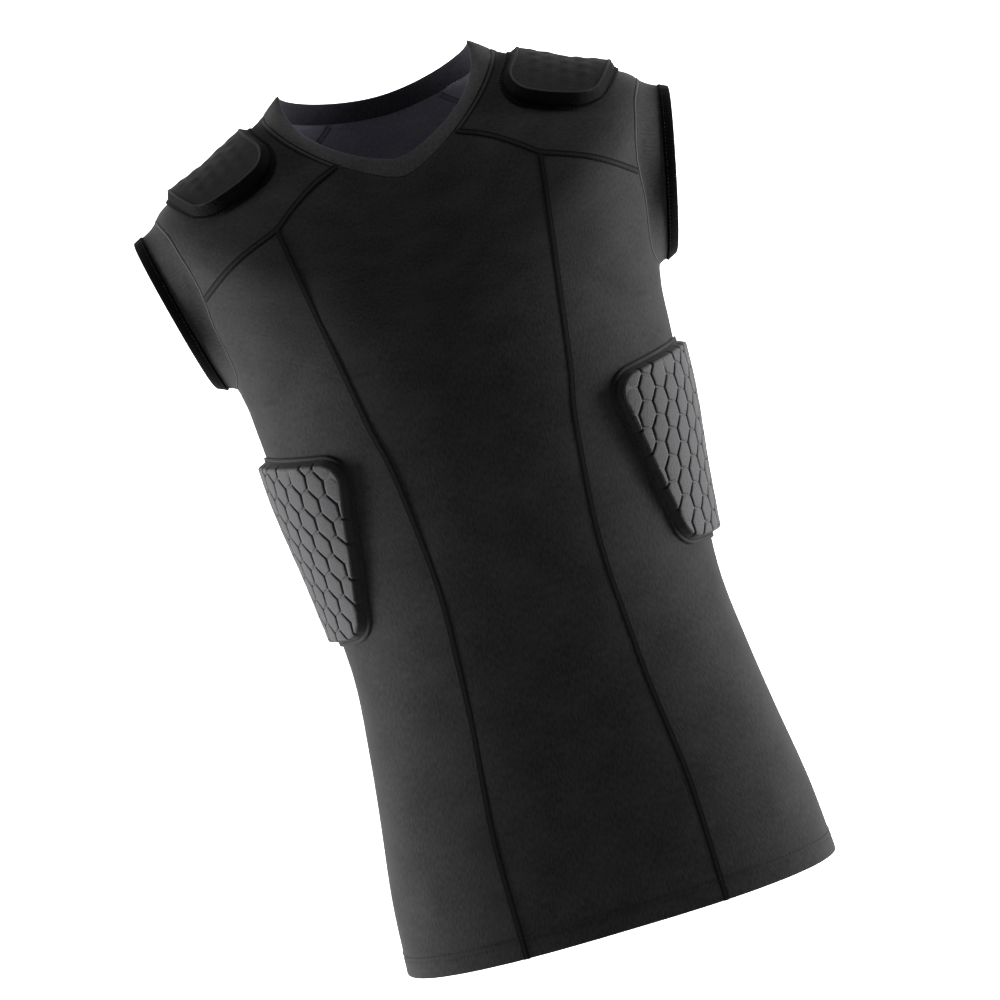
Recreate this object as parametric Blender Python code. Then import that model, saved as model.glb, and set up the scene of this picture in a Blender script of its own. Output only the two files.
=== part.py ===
"""Padded compression shirt, filled out as if worn, with nobody in it.

Metres, +Z up, front towards -Y, the wearer's left at +X. The origin is midway between the shoulders,
where the wearer holds the shirt up.

Every panel lies on one general figure. A place on it is (around, along): along is the distance up the
figure's side line from the hem, and on over the shoulder to the neck, and around is the distance from
that line along a level ring, forward positive. Tables and named sizes are in millimetres and degrees.
"""

from collections import namedtuple

import bmesh
import bpy
import numpy as np
from mathutils import Vector
from mathutils.geometry import delaunay_2d_cdt

MM = 0.001

# Cloth and trims
CLOTH = 1.5
BAND_CLOTH = 2.0
SEAM_GAP = 0.32
PAD_GAP = 0.35
CUFF_WIDTH = 8.5
CUFF_OUTSIDE = 0.7
CUFF_INSIDE = 2.4
CUFF_ROUNDING = 0.8

# How finely each seam is divided. Panels that share a seam share its points.
HEM_TO_YOKE = 18
NECK_TO_PRINCESS = 4
PRINCESS_TO_ARMHOLE = 4
FRONT_NECK = 8
YOKE_NECK = 12
UNDER_ARM = 12
OVER_ARM = 12
SLEEVE_ROWS = 3

# Rings of the figure, from the hem up and over the shoulders to the neck. Seen from above a ring is a
# superellipse. The side, front and back columns are where it crosses the body's side and its two
# centre lines. Droop and bend shape how it falls from the side to those lines.
Ring = namedtuple(
    "Ring",
    "name half_width side_y side_z front_y front_z back_y back_z square"
    " front_droop front_bend back_droop back_bend",
)
RINGS = [
    Ring("hem", 172.8, 2, -645, -101, -649, 105, -643, 3.1, 2.4, 0.8, 2.4, 0.8),
    Ring("seat", 169.4, 2, -594, -99, -596, 104, -593, 3.0, 2.4, 0.8, 2.4, 0.8),
    Ring("hip", 160.1, 1, -523, -95, -524, 99, -523, 2.8, 2.4, 0.8, 2.4, 0.8),
    Ring("belly", 154.2, 0, -477, -93, -477, 94, -477, 2.7, 2.4, 0.8, 2.4, 0.8),
    Ring("waist", 148.8, 0, -419, -94, -419, 90, -419, 2.6, 2.4, 0.8, 2.4, 0.8),
    Ring("ribs", 154.2, 0, -345, -101, -345, 98, -345, 2.5, 2.4, 0.8, 2.4, 0.8),
    Ring("under chest", 163.6, 0, -267, -110, -267, 106, -267, 2.45, 2.4, 0.8, 2.4, 0.8),
    Ring("chest", 166.6, 1, -212, -113, -214, 109, -212, 2.4, 2.4, 0.8, 2.4, 0.8),
    Ring("armpit", 171.0, 2, -176, -112, -182, 111, -172, 2.4, 2.4, 0.83, 2.4, 0.83),
    Ring("mid armhole", 185.0, 3, -105, -107, -146, 108, -110, 2.4, 2.4, 0.83, 2.4, 0.83),
    Ring("shoulder tip", 197.0, 4, -33, -100, -113, 100, -62, 2.4, 2.4, 0.83, 2.4, 0.83),
    Ring("shoulder", 140.0, 4, -2, -91, -86, 86, -22, 2.4, 2.0, 0.83, 2.2, 0.9),
    Ring("neck seam", 92.0, 3, 24, -81, -63, 69, 8, 2.3, 1.3, 0.65, 1.7, 1.0),
    Ring("neck edge", 77.0, 2, 35.5, -75, -47, 62, 23, 2.3, 1.35, 0.46, 1.7, 1.0),
]

# Seams of one half of the front, as seen from the front. The back has the same ones.
SeamPoint = namedtuple("SeamPoint", "x z")
PRINCESS_SEAM = [
    SeamPoint(77.6, -655),
    SeamPoint(76.8, -565),
    SeamPoint(73.0, -519),
    SeamPoint(68.4, -477),
    SeamPoint(65.2, -427),
    SeamPoint(62.9, -385),
    SeamPoint(63.3, -351),
    SeamPoint(66.4, -314),
    SeamPoint(71.4, -268),
    SeamPoint(78.3, -235),
    SeamPoint(89.2, -165),
    SeamPoint(96.1, -120),
    SeamPoint(102.8, -73),
]
YOKE_TO_NECK = [
    SeamPoint(102.8, -73),
    SeamPoint(85.7, -59.4),
    SeamPoint(67.7, -47.8),
    SeamPoint(44.8, -38.2),
]
YOKE_TO_ARMHOLE = [SeamPoint(102.8, -73), SeamPoint(137.3, -86.5)]

# Half of the armhole, from the top of the shoulder to under the arm. Spread is its angle from the
# side line. The yoke seam meets it at the row named below.
ArmholePoint = namedtuple("ArmholePoint", "along spread")
ARMHOLE = [
    ArmholePoint(619.0, 0),
    ArmholePoint(617.5, 15),
    ArmholePoint(611.0, 26),
    ArmholePoint(590.0, 30.5),
    ArmholePoint(568.0, 29.5),
    ArmholePoint(553.0, 27.2),
    ArmholePoint(526.0, 23.8),
    ArmholePoint(500.0, 22.6),
    ArmholePoint(482.0, 19.5),
    ArmholePoint(474.0, 11),
    ArmholePoint(471.5, 0),
]
YOKE_MEETS_ARMHOLE = 5

# The cuff is a flat superellipse. Its top and bottom are places on the body's side plane.
CUFF_TOP_X, CUFF_TOP_Z = 213.0, -41.0
CUFF_BOTTOM_X, CUFF_BOTTOM_Z = 182.5, -172.5
CUFF_Y = 3.0
CUFF_HALF_DEPTH = 54.0
CUFF_SQUARE = 2.25
SLEEVE_BULGE = 2.2

# Pads, in the (around, along) plane: each corner's place and its radius. The other half mirrors it.
Corner = namedtuple("Corner", "around along radius")
RIB_PAD_CORNERS = [
    Corner(0, 420, 260),
    Corner(129, 397.5, 21),
    Corner(77, 257.5, 24),
]
SHOULDER_PAD_CORNERS = [Corner(86, 723, 30), Corner(86, 637.5, 20)]
CORNER_STEPS = 4
EDGE_STEP = 18
FLANGE_TOP = 1.7
RIB_FLANGE = 3.6
RIB_WALL_LEAN = 4.2
RIB_GROOVE_FLOOR = 7.0
RIB_CELL_TOP = 8.4
SHOULDER_FLANGE = 3.2
SHOULDER_WALL_LEAN = 4.4
SHOULDER_HEIGHT_ON_TOP = 6.7
SHOULDER_HEIGHT_IN_FRONT = 12.6
SHOULDER_TOP_STEP = 21

# A hexagon cell of the rib pads goes round by these three edges and then back by them, and the first
# cell's corner is at CELL_CORNER.
CELL_EDGES = np.array([[-8.0, -2.1], [-2.4, -10.2], [5.4, -9.5]])
CELL_CORNER = np.array([86.8, 381.0])
CELL_GROOVE_HALF = 1.2
CELL_MIN_AREA = 30.0
MERGE = 0.25

TABLE = np.array([ring[1:] for ring in RINGS], float)
STATIONS = np.concatenate([[0.0], np.cumsum(np.hypot(*np.diff(TABLE[:, [0, 2]], axis=0).T))])
STATION = {ring.name: place for ring, place in zip(RINGS, STATIONS)}


def ring_at(along):
    """The ring's columns at a station, by a smooth curve through the table."""
    along = np.clip(np.asarray(along, float), STATIONS[0], STATIONS[-1])
    k = np.clip(np.searchsorted(STATIONS, along, side="right") - 1, 0, len(STATIONS) - 2)
    slopes = np.gradient(TABLE, STATIONS, axis=0)
    width = (STATIONS[k + 1] - STATIONS[k])[..., None]
    t = (along - STATIONS[k])[..., None] / width
    columns = (
        (2 * t**3 - 3 * t**2 + 1) * TABLE[k]
        + (t**3 - 2 * t**2 + t) * width * slopes[k]
        + (3 * t**2 - 2 * t**3) * TABLE[k + 1]
        + (t**3 - t**2) * width * slopes[k + 1]
    )
    return Ring("", *np.moveaxis(columns, -1, 0))


def figure(along, angle):
    """Points of the figure. The angle is 0 at front centre and a quarter turn at the side."""
    along, angle = np.broadcast_arrays(np.asarray(along, float), np.asarray(angle, float))
    ring = ring_at(along)
    across, ahead = np.abs(np.sin(angle)), np.cos(angle)
    reach = (across**ring.square + np.abs(ahead) ** ring.square) ** (-1 / ring.square)
    front = ahead > 0
    far_y = np.where(front, ring.front_y, ring.back_y)
    far_z = np.where(front, ring.front_z, ring.back_z)
    droop = np.where(front, ring.front_droop, ring.back_droop)
    bend = np.where(front, ring.front_bend, ring.back_bend)
    x = ring.half_width * reach * np.sin(angle)
    y = ring.side_y + (far_y - ring.side_y) * np.abs(ahead) * reach
    fall = np.clip(1 - np.clip(across * reach, 0, 1) ** droop, 0, 1) ** bend
    z = ring.side_z + (far_z - ring.side_z) * fall
    return np.stack([x, y, z], axis=-1)


def unit(vectors):
    return vectors / np.linalg.norm(vectors, axis=-1, keepdims=True)


def outward(along, angle):
    """The figure's outward direction, from its slopes either side of each point."""
    turn, rise = 0.002, 0.4
    across = figure(along, angle + turn) - figure(along, angle - turn)
    up = figure(along + rise, angle) - figure(along - rise, angle)
    return unit(np.cross(across, up))


def around_from_angle(along, angle):
    """The distance along the ring from the side line, forward positive."""
    share = np.linspace(0, 1, 49)
    angles = np.pi / 2 + (np.asarray(angle)[..., None] - np.pi / 2) * share
    path = figure(np.asarray(along)[..., None], angles)
    length = np.linalg.norm(np.diff(path, axis=-2), axis=-1).sum(axis=-1)
    return np.where(np.asarray(angle) < np.pi / 2, length, -length)


def angle_from_around(around, along):
    """The angle at a signed distance from the side line."""
    angles = []
    quarter = np.linspace(np.pi / 2, 0, 97)
    for distance, place in zip(np.ravel(around), np.ravel(along)):
        turns = quarter if distance >= 0 else np.pi - quarter
        steps = np.linalg.norm(np.diff(figure(place, turns), axis=0), axis=1)
        lengths = np.concatenate([[0.0], np.cumsum(steps)])
        angles.append(np.interp(abs(distance), lengths, turns))
    return np.array(angles)


def locate(seam):
    """The (along, angle) of front-view points on the front of the figure."""
    x, z = np.asarray(seam, float).T
    low, high = np.zeros(len(x)), np.full(len(x), STATIONS[-1])
    for _ in range(45):
        along = (low + high) / 2
        ring = ring_at(along)
        side = np.clip(x / ring.half_width, 0, 1)
        angle = np.arctan2(side, (1 - side**ring.square) ** (1 / ring.square))
        below = figure(along, angle)[:, 2] < z
        low, high = np.where(below, along, low), np.where(below, high, along)
    return np.stack([along, angle], axis=1)


def smooth(points, closed=False):
    """A dense Catmull-Rom curve through the points, which it keeps."""
    points = np.asarray(points, float)
    if closed:
        padded = np.concatenate([points[-1:], points, points[:2]])
    else:
        before, after = 2 * points[0] - points[1], 2 * points[-1] - points[-2]
        padded = np.concatenate([[before], points, [after]])
    t = np.linspace(0, 1, 16, endpoint=False)[:, None]
    pieces = []
    for a, b, c, d in zip(padded, padded[1:], padded[2:], padded[3:]):
        bow = 2 * a - 5 * b + 4 * c - d
        twist = 3 * b - 3 * c + d - a
        pieces.append(b + t / 2 * (c - a + t * (bow + t * twist)))
    end = points[:1] if closed else points[-1:]
    return np.concatenate(pieces + [end])


def divide(path, count):
    """An (along, angle) path's points at equal distances on the figure."""
    steps = np.linalg.norm(np.diff(figure(path[:, 0], path[:, 1]), axis=0), axis=1)
    length = np.concatenate([[0.0], np.cumsum(steps)])
    places = np.linspace(0, length[-1], count + 1)
    return np.stack([np.interp(places, length, column) for column in path.T], axis=1)


def to_back(path):
    """The same path on the back of the figure."""
    return path * [1, -1] + [0, np.pi]


def to_right(path):
    """The same path on the wearer's right."""
    return path * [1, -1]


def level(name, first_angle, last_angle, count):
    """Part of a ring, divided evenly."""
    angles = np.linspace(first_angle, last_angle, 60)
    return divide(np.stack([np.full(60, STATION[name]), angles], axis=1), count)


def seams():
    """The seams of the wearer's left half, each divided as both of its panels need."""
    to_neck = locate(smooth(YOKE_TO_NECK))
    to_neck[-1, 0] = STATION["neck seam"]
    half = np.array(ARMHOLE) * [1, np.pi / 180]
    front_half = half * [1, -1] + [0, np.pi / 2]
    back_half = (half * [1, 1] + [0, np.pi / 2])[-2:0:-1]
    armhole = smooth(np.concatenate([front_half, back_half]), closed=True)
    meets = half[YOKE_MEETS_ARMHOLE] * [1, -1] + [0, np.pi / 2]
    first = int(np.argmin(np.abs(armhole - meets).sum(axis=1)))
    last = int(np.argmin(np.abs(armhole - to_back(meets)).sum(axis=1)))
    over = np.concatenate([armhole[last:], armhole[1 : first + 1]])[::-1]
    end = figure(*meets)[[0, 2]]
    to_armhole = locate(smooth(YOKE_TO_ARMHOLE + [SeamPoint(*end)]))
    to_armhole[-1] = meets
    neck_angle = to_neck[-1, 1]
    return {
        "princess": divide(locate(smooth(PRINCESS_SEAM)), HEM_TO_YOKE),
        "yoke to neck": divide(to_neck, NECK_TO_PRINCESS),
        "yoke to armhole": divide(to_armhole, PRINCESS_TO_ARMHOLE),
        "under arm": divide(armhole[first : last + 1], UNDER_ARM),
        "over arm": divide(over, OVER_ARM),
        "front neck": level("neck seam", -neck_angle, neck_angle, FRONT_NECK),
        "yoke neck": level("neck seam", neck_angle, np.pi - neck_angle, YOKE_NECK),
    }


def patch(bottom, top, left, right):
    """A grid between four edges that share their corners (a Coons patch)."""
    u = np.linspace(0, 1, len(bottom))[None, :, None]
    v = np.linspace(0, 1, len(left))[:, None, None]
    up = (1 - v) * bottom + v * top
    across = (1 - u) * left[:, None] + u * right[:, None]
    corners = (1 - v) * ((1 - u) * bottom[0] + u * bottom[-1])
    corners = corners + v * ((1 - u) * top[0] + u * top[-1])
    return up + across - corners


def front_panel(seam):
    """The front centre panel's grid. Its back twin is the same, turned to the back."""
    edge = np.concatenate([seam["princess"], seam["yoke to neck"][1:]])
    bottom = level("hem", -edge[0, 1], edge[0, 1], FRONT_NECK)
    return patch(bottom, seam["front neck"], to_right(edge), edge)


def side_panel(seam):
    princess, to_armhole = seam["princess"], seam["yoke to armhole"]
    top = np.concatenate([to_armhole, seam["under arm"][1:-1], to_back(to_armhole)[::-1]])
    bottom = level("hem", princess[0, 1], np.pi - princess[0, 1], len(top) - 1)
    return patch(bottom, top, princess, to_back(princess))


def yoke_panel(seam):
    front = np.concatenate([seam["yoke to neck"][::-1], seam["yoke to armhole"][1:]])
    return patch(front, to_back(front), seam["yoke neck"], seam["over arm"])


def grid_triangles(rows, columns, closed=False):
    """Two triangles for each cell of a grid of points, split along the same diagonal."""
    triangles = []
    for row in range(rows - 1):
        for column in range(columns if closed else columns - 1):
            beside = (column + 1) % columns
            a, b = row * columns + column, row * columns + beside
            c, d = a + columns, b + columns
            triangles += [(a, b, d), (a, d, c)]
    return triangles


def grid_rim(rows, columns):
    """The point indices round a grid's edge, in order."""
    bottom = list(range(columns))
    right = [row * columns + columns - 1 for row in range(1, rows)]
    top = [(rows - 1) * columns + column for column in range(columns - 2, -1, -1)]
    left = [row * columns for row in range(rows - 2, 0, -1)]
    return bottom + right + top + left


def drawn_in(points, normals, rim):
    """The grid's points with its rim moved half a seam gap towards the inside."""
    points = points.copy()
    edge, facing = points[rim], normals[rim]
    before = unit(np.cross(facing, edge - np.roll(edge, 1, axis=0)))
    after = unit(np.cross(facing, np.roll(edge, -1, axis=0) - edge))
    inward = before + after
    shift = inward / (1 + (before * after).sum(axis=1, keepdims=True))
    points[rim] = edge + shift * SEAM_GAP / 2
    return points


def closed_shell(outer, inner, triangles, loops):
    """Points and faces of a wall: its outside, its inside and the edges that join them."""
    count = len(outer)
    faces = list(triangles) + [(a + count, c + count, b + count) for a, b, c in triangles]
    for loop in loops:
        for a, b in zip(loop, loop[1:] + loop[:1]):
            faces += [(b, a, a + count), (b, a + count, b + count)]
    return np.concatenate([outer, inner]), faces


def panel_wall(grid):
    """A cloth wall on the figure, and what a pad needs to lie on it."""
    rows, columns = grid.shape[:2]
    flat = grid.reshape(-1, 2)
    normals = outward(flat[:, 0], flat[:, 1])
    rim = grid_rim(rows, columns)
    outer = drawn_in(figure(flat[:, 0], flat[:, 1]), normals, rim)
    triangles = grid_triangles(rows, columns)
    around = around_from_angle(flat[:, 0], flat[:, 1])
    skin = {
        "places": np.stack([around, flat[:, 0]], axis=1),
        "points": outer,
        "normals": normals,
        "triangles": np.array(triangles),
    }
    return closed_shell(outer, outer - CLOTH * normals, triangles, [rim]), skin


def loft_normals(points):
    """Outward directions on rows of closed rings, each ring going forward from the top."""
    round_it = np.roll(points, -1, axis=1) - np.roll(points, 1, axis=1)
    return unit(np.cross(round_it, np.gradient(points, axis=0)))


def armhole_ring(seam):
    """The armhole's points in 3-D, from the front yoke seam under the arm and over the top."""
    path = np.concatenate([seam["under arm"], seam["over arm"][-2:0:-1]])
    return figure(path[:, 0], path[:, 1])


def cuff_ring(armhole):
    """The cuff's points, spaced as the armhole's are between its highest and its lowest point."""
    top = np.array([CUFF_TOP_X, CUFF_Y, CUFF_TOP_Z])
    bottom = np.array([CUFF_BOTTOM_X, CUFF_Y, CUFF_BOTTOM_Z])
    middle, rise = (top + bottom) / 2, (top - bottom) / 2
    turn = np.linspace(0, np.pi, 181)
    reach = (np.abs(np.cos(turn)) ** CUFF_SQUARE + np.sin(turn) ** CUFF_SQUARE) ** (-1 / CUFF_SQUARE)
    ahead = np.outer(np.sin(turn) * reach, [0, -CUFF_HALF_DEPTH, 0])
    half = middle + np.outer(np.cos(turn) * reach, rise) + ahead
    steps = np.linalg.norm(np.diff(half, axis=0), axis=1)
    half_length = np.concatenate([[0.0], np.cumsum(steps)]) / steps.sum()
    high, low = int(armhole[:, 2].argmax()), int(armhole[:, 2].argmin())
    count = len(armhole)
    order = [(high + k) % count for k in range(count)]
    back_arc = (low - high) % count
    ring = np.zeros_like(armhole)
    for part, mirror in ((order[: back_arc + 1], -1), (order[back_arc:] + [high], 1)):
        edge = armhole[part]
        share = np.concatenate([[0.0], np.cumsum(np.linalg.norm(np.diff(edge, axis=0), axis=1))])
        share = share / share[-1] if mirror == -1 else 1 - share / share[-1]
        place = np.stack([np.interp(share, half_length, column) for column in half.T], axis=1)
        place[:, 1] = CUFF_Y + (place[:, 1] - CUFF_Y) * (1 if (edge[:, 1].mean() < CUFF_Y) else -1)
        ring[part] = place
    return ring


def sleeve_and_cuff(seam):
    """The cap sleeve's wall and the elastic binding round its edge."""
    armhole = armhole_ring(seam)
    cuff = cuff_ring(armhole)
    lean = np.array([CUFF_TOP_X - CUFF_BOTTOM_X, 0, CUFF_TOP_Z - CUFF_BOTTOM_Z])
    axis = unit(np.array([lean[2], 0, -lean[0]]))
    edge = cuff - axis * (CUFF_WIDTH / 2 + SEAM_GAP)
    start = armhole + unit(edge - armhole) * SEAM_GAP / 2
    share = np.linspace(0, 1, SLEEVE_ROWS + 1)[:, None, None]
    rows = (1 - share) * start + share * edge
    rows = rows + loft_normals(rows) * SLEEVE_BULGE * np.sin(np.pi * share)
    normals = loft_normals(rows)
    columns = len(armhole)
    outer = rows.reshape(-1, 3)
    inner = outer - CLOTH * normals.reshape(-1, 3)
    triangles = grid_triangles(SLEEVE_ROWS + 1, columns, closed=True)
    first = list(range(columns))
    last = [SLEEVE_ROWS * columns + k for k in reversed(range(columns))]
    sleeve = closed_shell(outer, inner, triangles, [first, last])
    binding_out = unit(np.cross(np.roll(cuff, -1, axis=0) - np.roll(cuff, 1, axis=0), axis))
    width, cut = CUFF_WIDTH / 2, CUFF_ROUNDING
    section = [
        (-width, cut - CUFF_INSIDE),
        (cut - width, -CUFF_INSIDE),
        (width - cut, -CUFF_INSIDE),
        (width, cut - CUFF_INSIDE),
        (width, CUFF_OUTSIDE - cut),
        (width - cut, CUFF_OUTSIDE),
        (cut - width, CUFF_OUTSIDE),
        (-width, CUFF_OUTSIDE - cut),
    ]
    return sleeve, swept(cuff, [(axis * a, binding_out * b) for a, b in section])


def swept(ring, offsets):
    """A closed tube whose section's points stand off a ring of points."""
    points = np.concatenate([ring + axial + radial for axial, radial in offsets])
    count, sides = len(ring), len(offsets)
    faces = []
    for side in range(sides):
        for k in range(count):
            a, b = side * count + k, side * count + (k + 1) % count
            c, d = ((side + 1) % sides) * count + k, ((side + 1) % sides) * count + (k + 1) % count
            faces += [(a, b, d), (a, d, c)]
    return points, faces


def neckband(seam):
    """A doubled strip from the neck seam to the neck edge, rounded at its fold."""
    front, side = seam["front neck"][:, 1], seam["yoke neck"][:, 1]
    other_side = 2 * np.pi - side[::-1]
    angles = np.concatenate([front[:-1], side[:-1], np.pi + front[:-1], other_side[:-1]])
    low, high = STATION["neck seam"] + SEAM_GAP / 2, STATION["neck edge"]
    outside = [(0, 0), (0.35, 0), (0.7, 0), (0.94, 0.1)]
    section = outside + [(1, 0.5)] + [(height, 1 - depth) for height, depth in reversed(outside)]
    rows = []
    for height, depth in section:
        along = np.full(len(angles), low + (high - low) * height)
        rows.append(figure(along, angles) - outward(along, angles) * BAND_CLOTH * depth)
    count, sides = len(angles), len(section)
    faces = grid_triangles(sides, count, closed=True)
    for k in range(count):
        a, b = (sides - 1) * count + k, (sides - 1) * count + (k + 1) % count
        faces += [(a, b, (k + 1) % count), (a, (k + 1) % count, k)]
    return np.concatenate(rows), faces


def outline(corners, inset):
    """A pad's outline, anticlockwise, moved in by the inset, with arcs at its corners."""
    around = np.array([corner.around for corner in corners], float)
    mirrored = [corner for corner in reversed(corners) if corner.around > 0]
    places = [(a, c.along, c.radius) for a, c in zip(around, corners)]
    places += [(-c.around, c.along, c.radius) for c in mirrored]
    points = np.array([place[:2] for place in places])
    radii = np.array([place[2] for place in places]) - inset
    forward = unit(np.roll(points, -1, axis=0) - points)
    inside = points.mean(axis=0)
    normals = np.stack([forward[:, 1], -forward[:, 0]], axis=1)
    normals *= np.sign(((inside - points) * normals).sum(axis=1))[:, None]
    moved = []
    for k in range(len(points)):
        before, after = normals[k - 1], normals[k]
        moved.append(points[k] + inset * (before + after) / (1 + before @ after))
    rounded = []
    for k, corner in enumerate(moved):
        before, after = normals[k - 1], normals[k]
        centre = corner + radii[k] * (before + after) / (1 + before @ after)
        start, finish = np.arctan2(*-before[::-1]), np.arctan2(*-after[::-1])
        turn = (finish - start + np.pi) % (2 * np.pi) - np.pi
        for share in np.linspace(0, 1, CORNER_STEPS + 1):
            angle = start + turn * share
            rounded.append(centre + radii[k] * np.array([np.cos(angle), np.sin(angle)]))
    path = []
    for point, after in zip(rounded, rounded[1:] + rounded[:1]):
        pieces = max(1, int(np.linalg.norm(after - point) / EDGE_STEP + 0.5))
        path += [point + (after - point) * step / pieces for step in range(pieces)]
    return np.array(path[::-1])


def cut_by(polygon, point, inward):
    """A convex polygon's part on the inward side of a line."""
    kept = []
    for a, b in zip(polygon, polygon[1:] + polygon[:1]):
        height_a, height_b = (a - point) @ inward, (b - point) @ inward
        if height_a >= 0:
            kept.append(a)
        if height_a * height_b < 0:
            kept.append(a + (b - a) * height_a / (height_a - height_b))
    return kept


def inside_convex(polygon, frame, inset):
    """A polygon's part inside a convex frame that is first moved in by the inset."""
    middle = np.mean(frame, axis=0)
    for a, b in zip(frame, np.roll(frame, -1, axis=0)):
        along = unit(b - a)
        inward = np.array([-along[1], along[0]])
        if inward @ (middle - a) < 0:
            inward = -inward
        polygon = cut_by(polygon, a + inward * inset, inward)
        if len(polygon) < 3:
            return []
    return polygon


def area(polygon):
    x, y = np.array(polygon).T
    return abs(x @ np.roll(y, 1) - y @ np.roll(x, 1)) / 2


def hexagon_cells(face):
    """The cells inside a pad's face, and the smaller top of each one that is raised."""
    first, second, third = CELL_EDGES
    corners = np.cumsum([-third, first, second, third, -first, -second], axis=0) + third
    cells, tops = [], []
    for row in range(-14, 15):
        for column in range(-14, 15):
            corner = CELL_CORNER + row * (first + second) + column * (second + third)
            cell = inside_convex([corner + step for step in corners], face, 0)
            if not cell:
                continue
            cells.append(cell)
            top = inside_convex(cell, np.array(cell), CELL_GROOVE_HALF)
            if top and area(top) > CELL_MIN_AREA:
                tops.append(top)
    return cells, tops


def triangulated(points, edges, faces):
    """Triangles inside the faces that keep every edge, and each point's first source."""
    flat = [Vector(point) for point in points]
    found, _, triangles, sources, _, owners = delaunay_2d_cdt(flat, edges, faces, 1, MERGE)
    kept = [tuple(triangle) for triangle, owner in zip(triangles, owners) if len(owner)]
    used = sorted({k for triangle in kept for k in triangle})
    place = {old: new for new, old in enumerate(used)}
    kept = [tuple(place[k] for k in triangle) for triangle in kept]
    return np.array([tuple(found[k]) for k in used]), kept, [sources[k] for k in used]


def rim_of(triangles):
    """The outer edge of some triangles, as an ordered list of points."""
    edges = {(t[k], t[(k + 1) % 3]) for t in triangles for k in range(3)}
    following = {a: b for a, b in edges if (b, a) not in edges}
    loop = [next(iter(sorted(following)))]
    while following[loop[-1]] != loop[0]:
        loop.append(following[loop[-1]])
    return loop


def base_on(skin, path):
    """A pad's underside. It keeps the edges of the cloth's facets, so it lies on them everywhere."""
    places, triangles = skin["places"], skin["triangles"]
    count = len(places)
    edges = {tuple(sorted((t[k], t[(k + 1) % 3]))) for t in triangles.tolist() for k in range(3)}
    face = list(range(count, count + len(path)))
    flat, faces, _ = triangulated(np.concatenate([places, path]), sorted(edges), [face])
    a, b, c = (places[triangles[:, k]] for k in range(3))
    whole = np.cross(b - a, c - a)
    moved = skin["points"] + PAD_GAP * skin["normals"]
    points = []
    for place in flat:
        shares = np.stack([np.cross(c - b, place - b), np.cross(a - c, place - c)], axis=1) / whole[:, None]
        shares = np.column_stack([shares, 1 - shares.sum(axis=1)])
        best = int(shares.min(axis=1).argmax())
        points.append(shares[best] @ moved[triangles[best]])
    return flat, np.array(points), faces


def raised(flat, height):
    """Points that stand off the figure."""
    angle = angle_from_around(flat[:, 0], flat[:, 1])
    height = np.broadcast_to(height, len(flat))[:, None]
    return figure(flat[:, 1], angle) + height * outward(flat[:, 1], angle)


def pad(skin, path, top_flat, top_faces_edges, heights):
    """A closed pad: its underside on the cloth, its top over the same outline."""
    flat, underside, base_faces = base_on(skin, path)
    loop = rim_of(base_faces)
    points = np.concatenate([flat[loop], top_flat])
    edges = [(a + len(loop), b + len(loop)) for a, b in top_faces_edges]
    top, top_faces, sources = triangulated(points, edges, [list(range(len(loop)))])
    height_of = np.concatenate([np.full(len(loop), FLANGE_TOP), heights])
    lifted = raised(top, np.array([height_of[min(source)] for source in sources]))
    above = {source: k for k, found in enumerate(sources) for source in found if source < len(loop)}
    count = len(underside)
    faces = [(a, c, b) for a, b, c in base_faces]
    faces += [(a + count, b + count, c + count) for a, b, c in top_faces]
    for k, low in enumerate(loop):
        after = (k + 1) % len(loop)
        high, high_after = above[k] + count, above[after] + count
        faces += [(low, loop[after], high_after), (low, high_after, high)]
    return np.concatenate([underside, lifted]), faces


def loop_edges(first, count):
    return [(first + k, first + (k + 1) % count) for k in range(count)]


def rib_pad(skin):
    """The rib pad: a flange, a leaning wall and a field of raised hexagon cells."""
    foot = outline(RIB_PAD_CORNERS, RIB_FLANGE)
    face = outline(RIB_PAD_CORNERS, RIB_FLANGE + RIB_WALL_LEAN)
    cells, tops = hexagon_cells(face)
    flat, edges, heights = [], [], []
    for polygon, height in (
        [(foot, FLANGE_TOP), (face, RIB_GROOVE_FLOOR)]
        + [(cell, RIB_GROOVE_FLOOR) for cell in cells]
        + [(top, RIB_CELL_TOP) for top in tops]
    ):
        edges += loop_edges(len(flat), len(polygon))
        flat += [tuple(point) for point in polygon]
        heights += [height] * len(polygon)
    path = outline(RIB_PAD_CORNERS, 0)
    return pad(skin, path, np.array(flat), edges, np.array(heights))


def shoulder_pad(skin):
    """The shoulder pad: a flange and a block that is thicker down the front and the back."""
    foot = outline(SHOULDER_PAD_CORNERS, SHOULDER_FLANGE)
    face = outline(SHOULDER_PAD_CORNERS, SHOULDER_FLANGE + SHOULDER_WALL_LEAN)
    low, high = face.min(axis=0), face.max(axis=0)
    middle = []
    first, last = low + SHOULDER_TOP_STEP, high - SHOULDER_TOP_STEP / 2
    for around in np.arange(first[0], last[0], SHOULDER_TOP_STEP):
        for along in np.arange(first[1], last[1], SHOULDER_TOP_STEP):
            middle.append((around, along))
    top = np.concatenate([face, middle])
    slope = (top[:, 0] / SHOULDER_PAD_CORNERS[0].around) ** 2
    rise = SHOULDER_HEIGHT_ON_TOP + (SHOULDER_HEIGHT_IN_FRONT - SHOULDER_HEIGHT_ON_TOP) * slope
    flat = np.concatenate([foot, top])
    edges = loop_edges(0, len(foot)) + loop_edges(len(foot), len(face))
    heights = np.concatenate([np.full(len(foot), FLANGE_TOP), rise])
    return pad(skin, outline(SHOULDER_PAD_CORNERS, 0), flat, edges, heights)


def to_linear(channel):
    return channel / 12.92 if channel <= 0.04045 else ((channel + 0.055) / 1.055) ** 2.4


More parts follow.
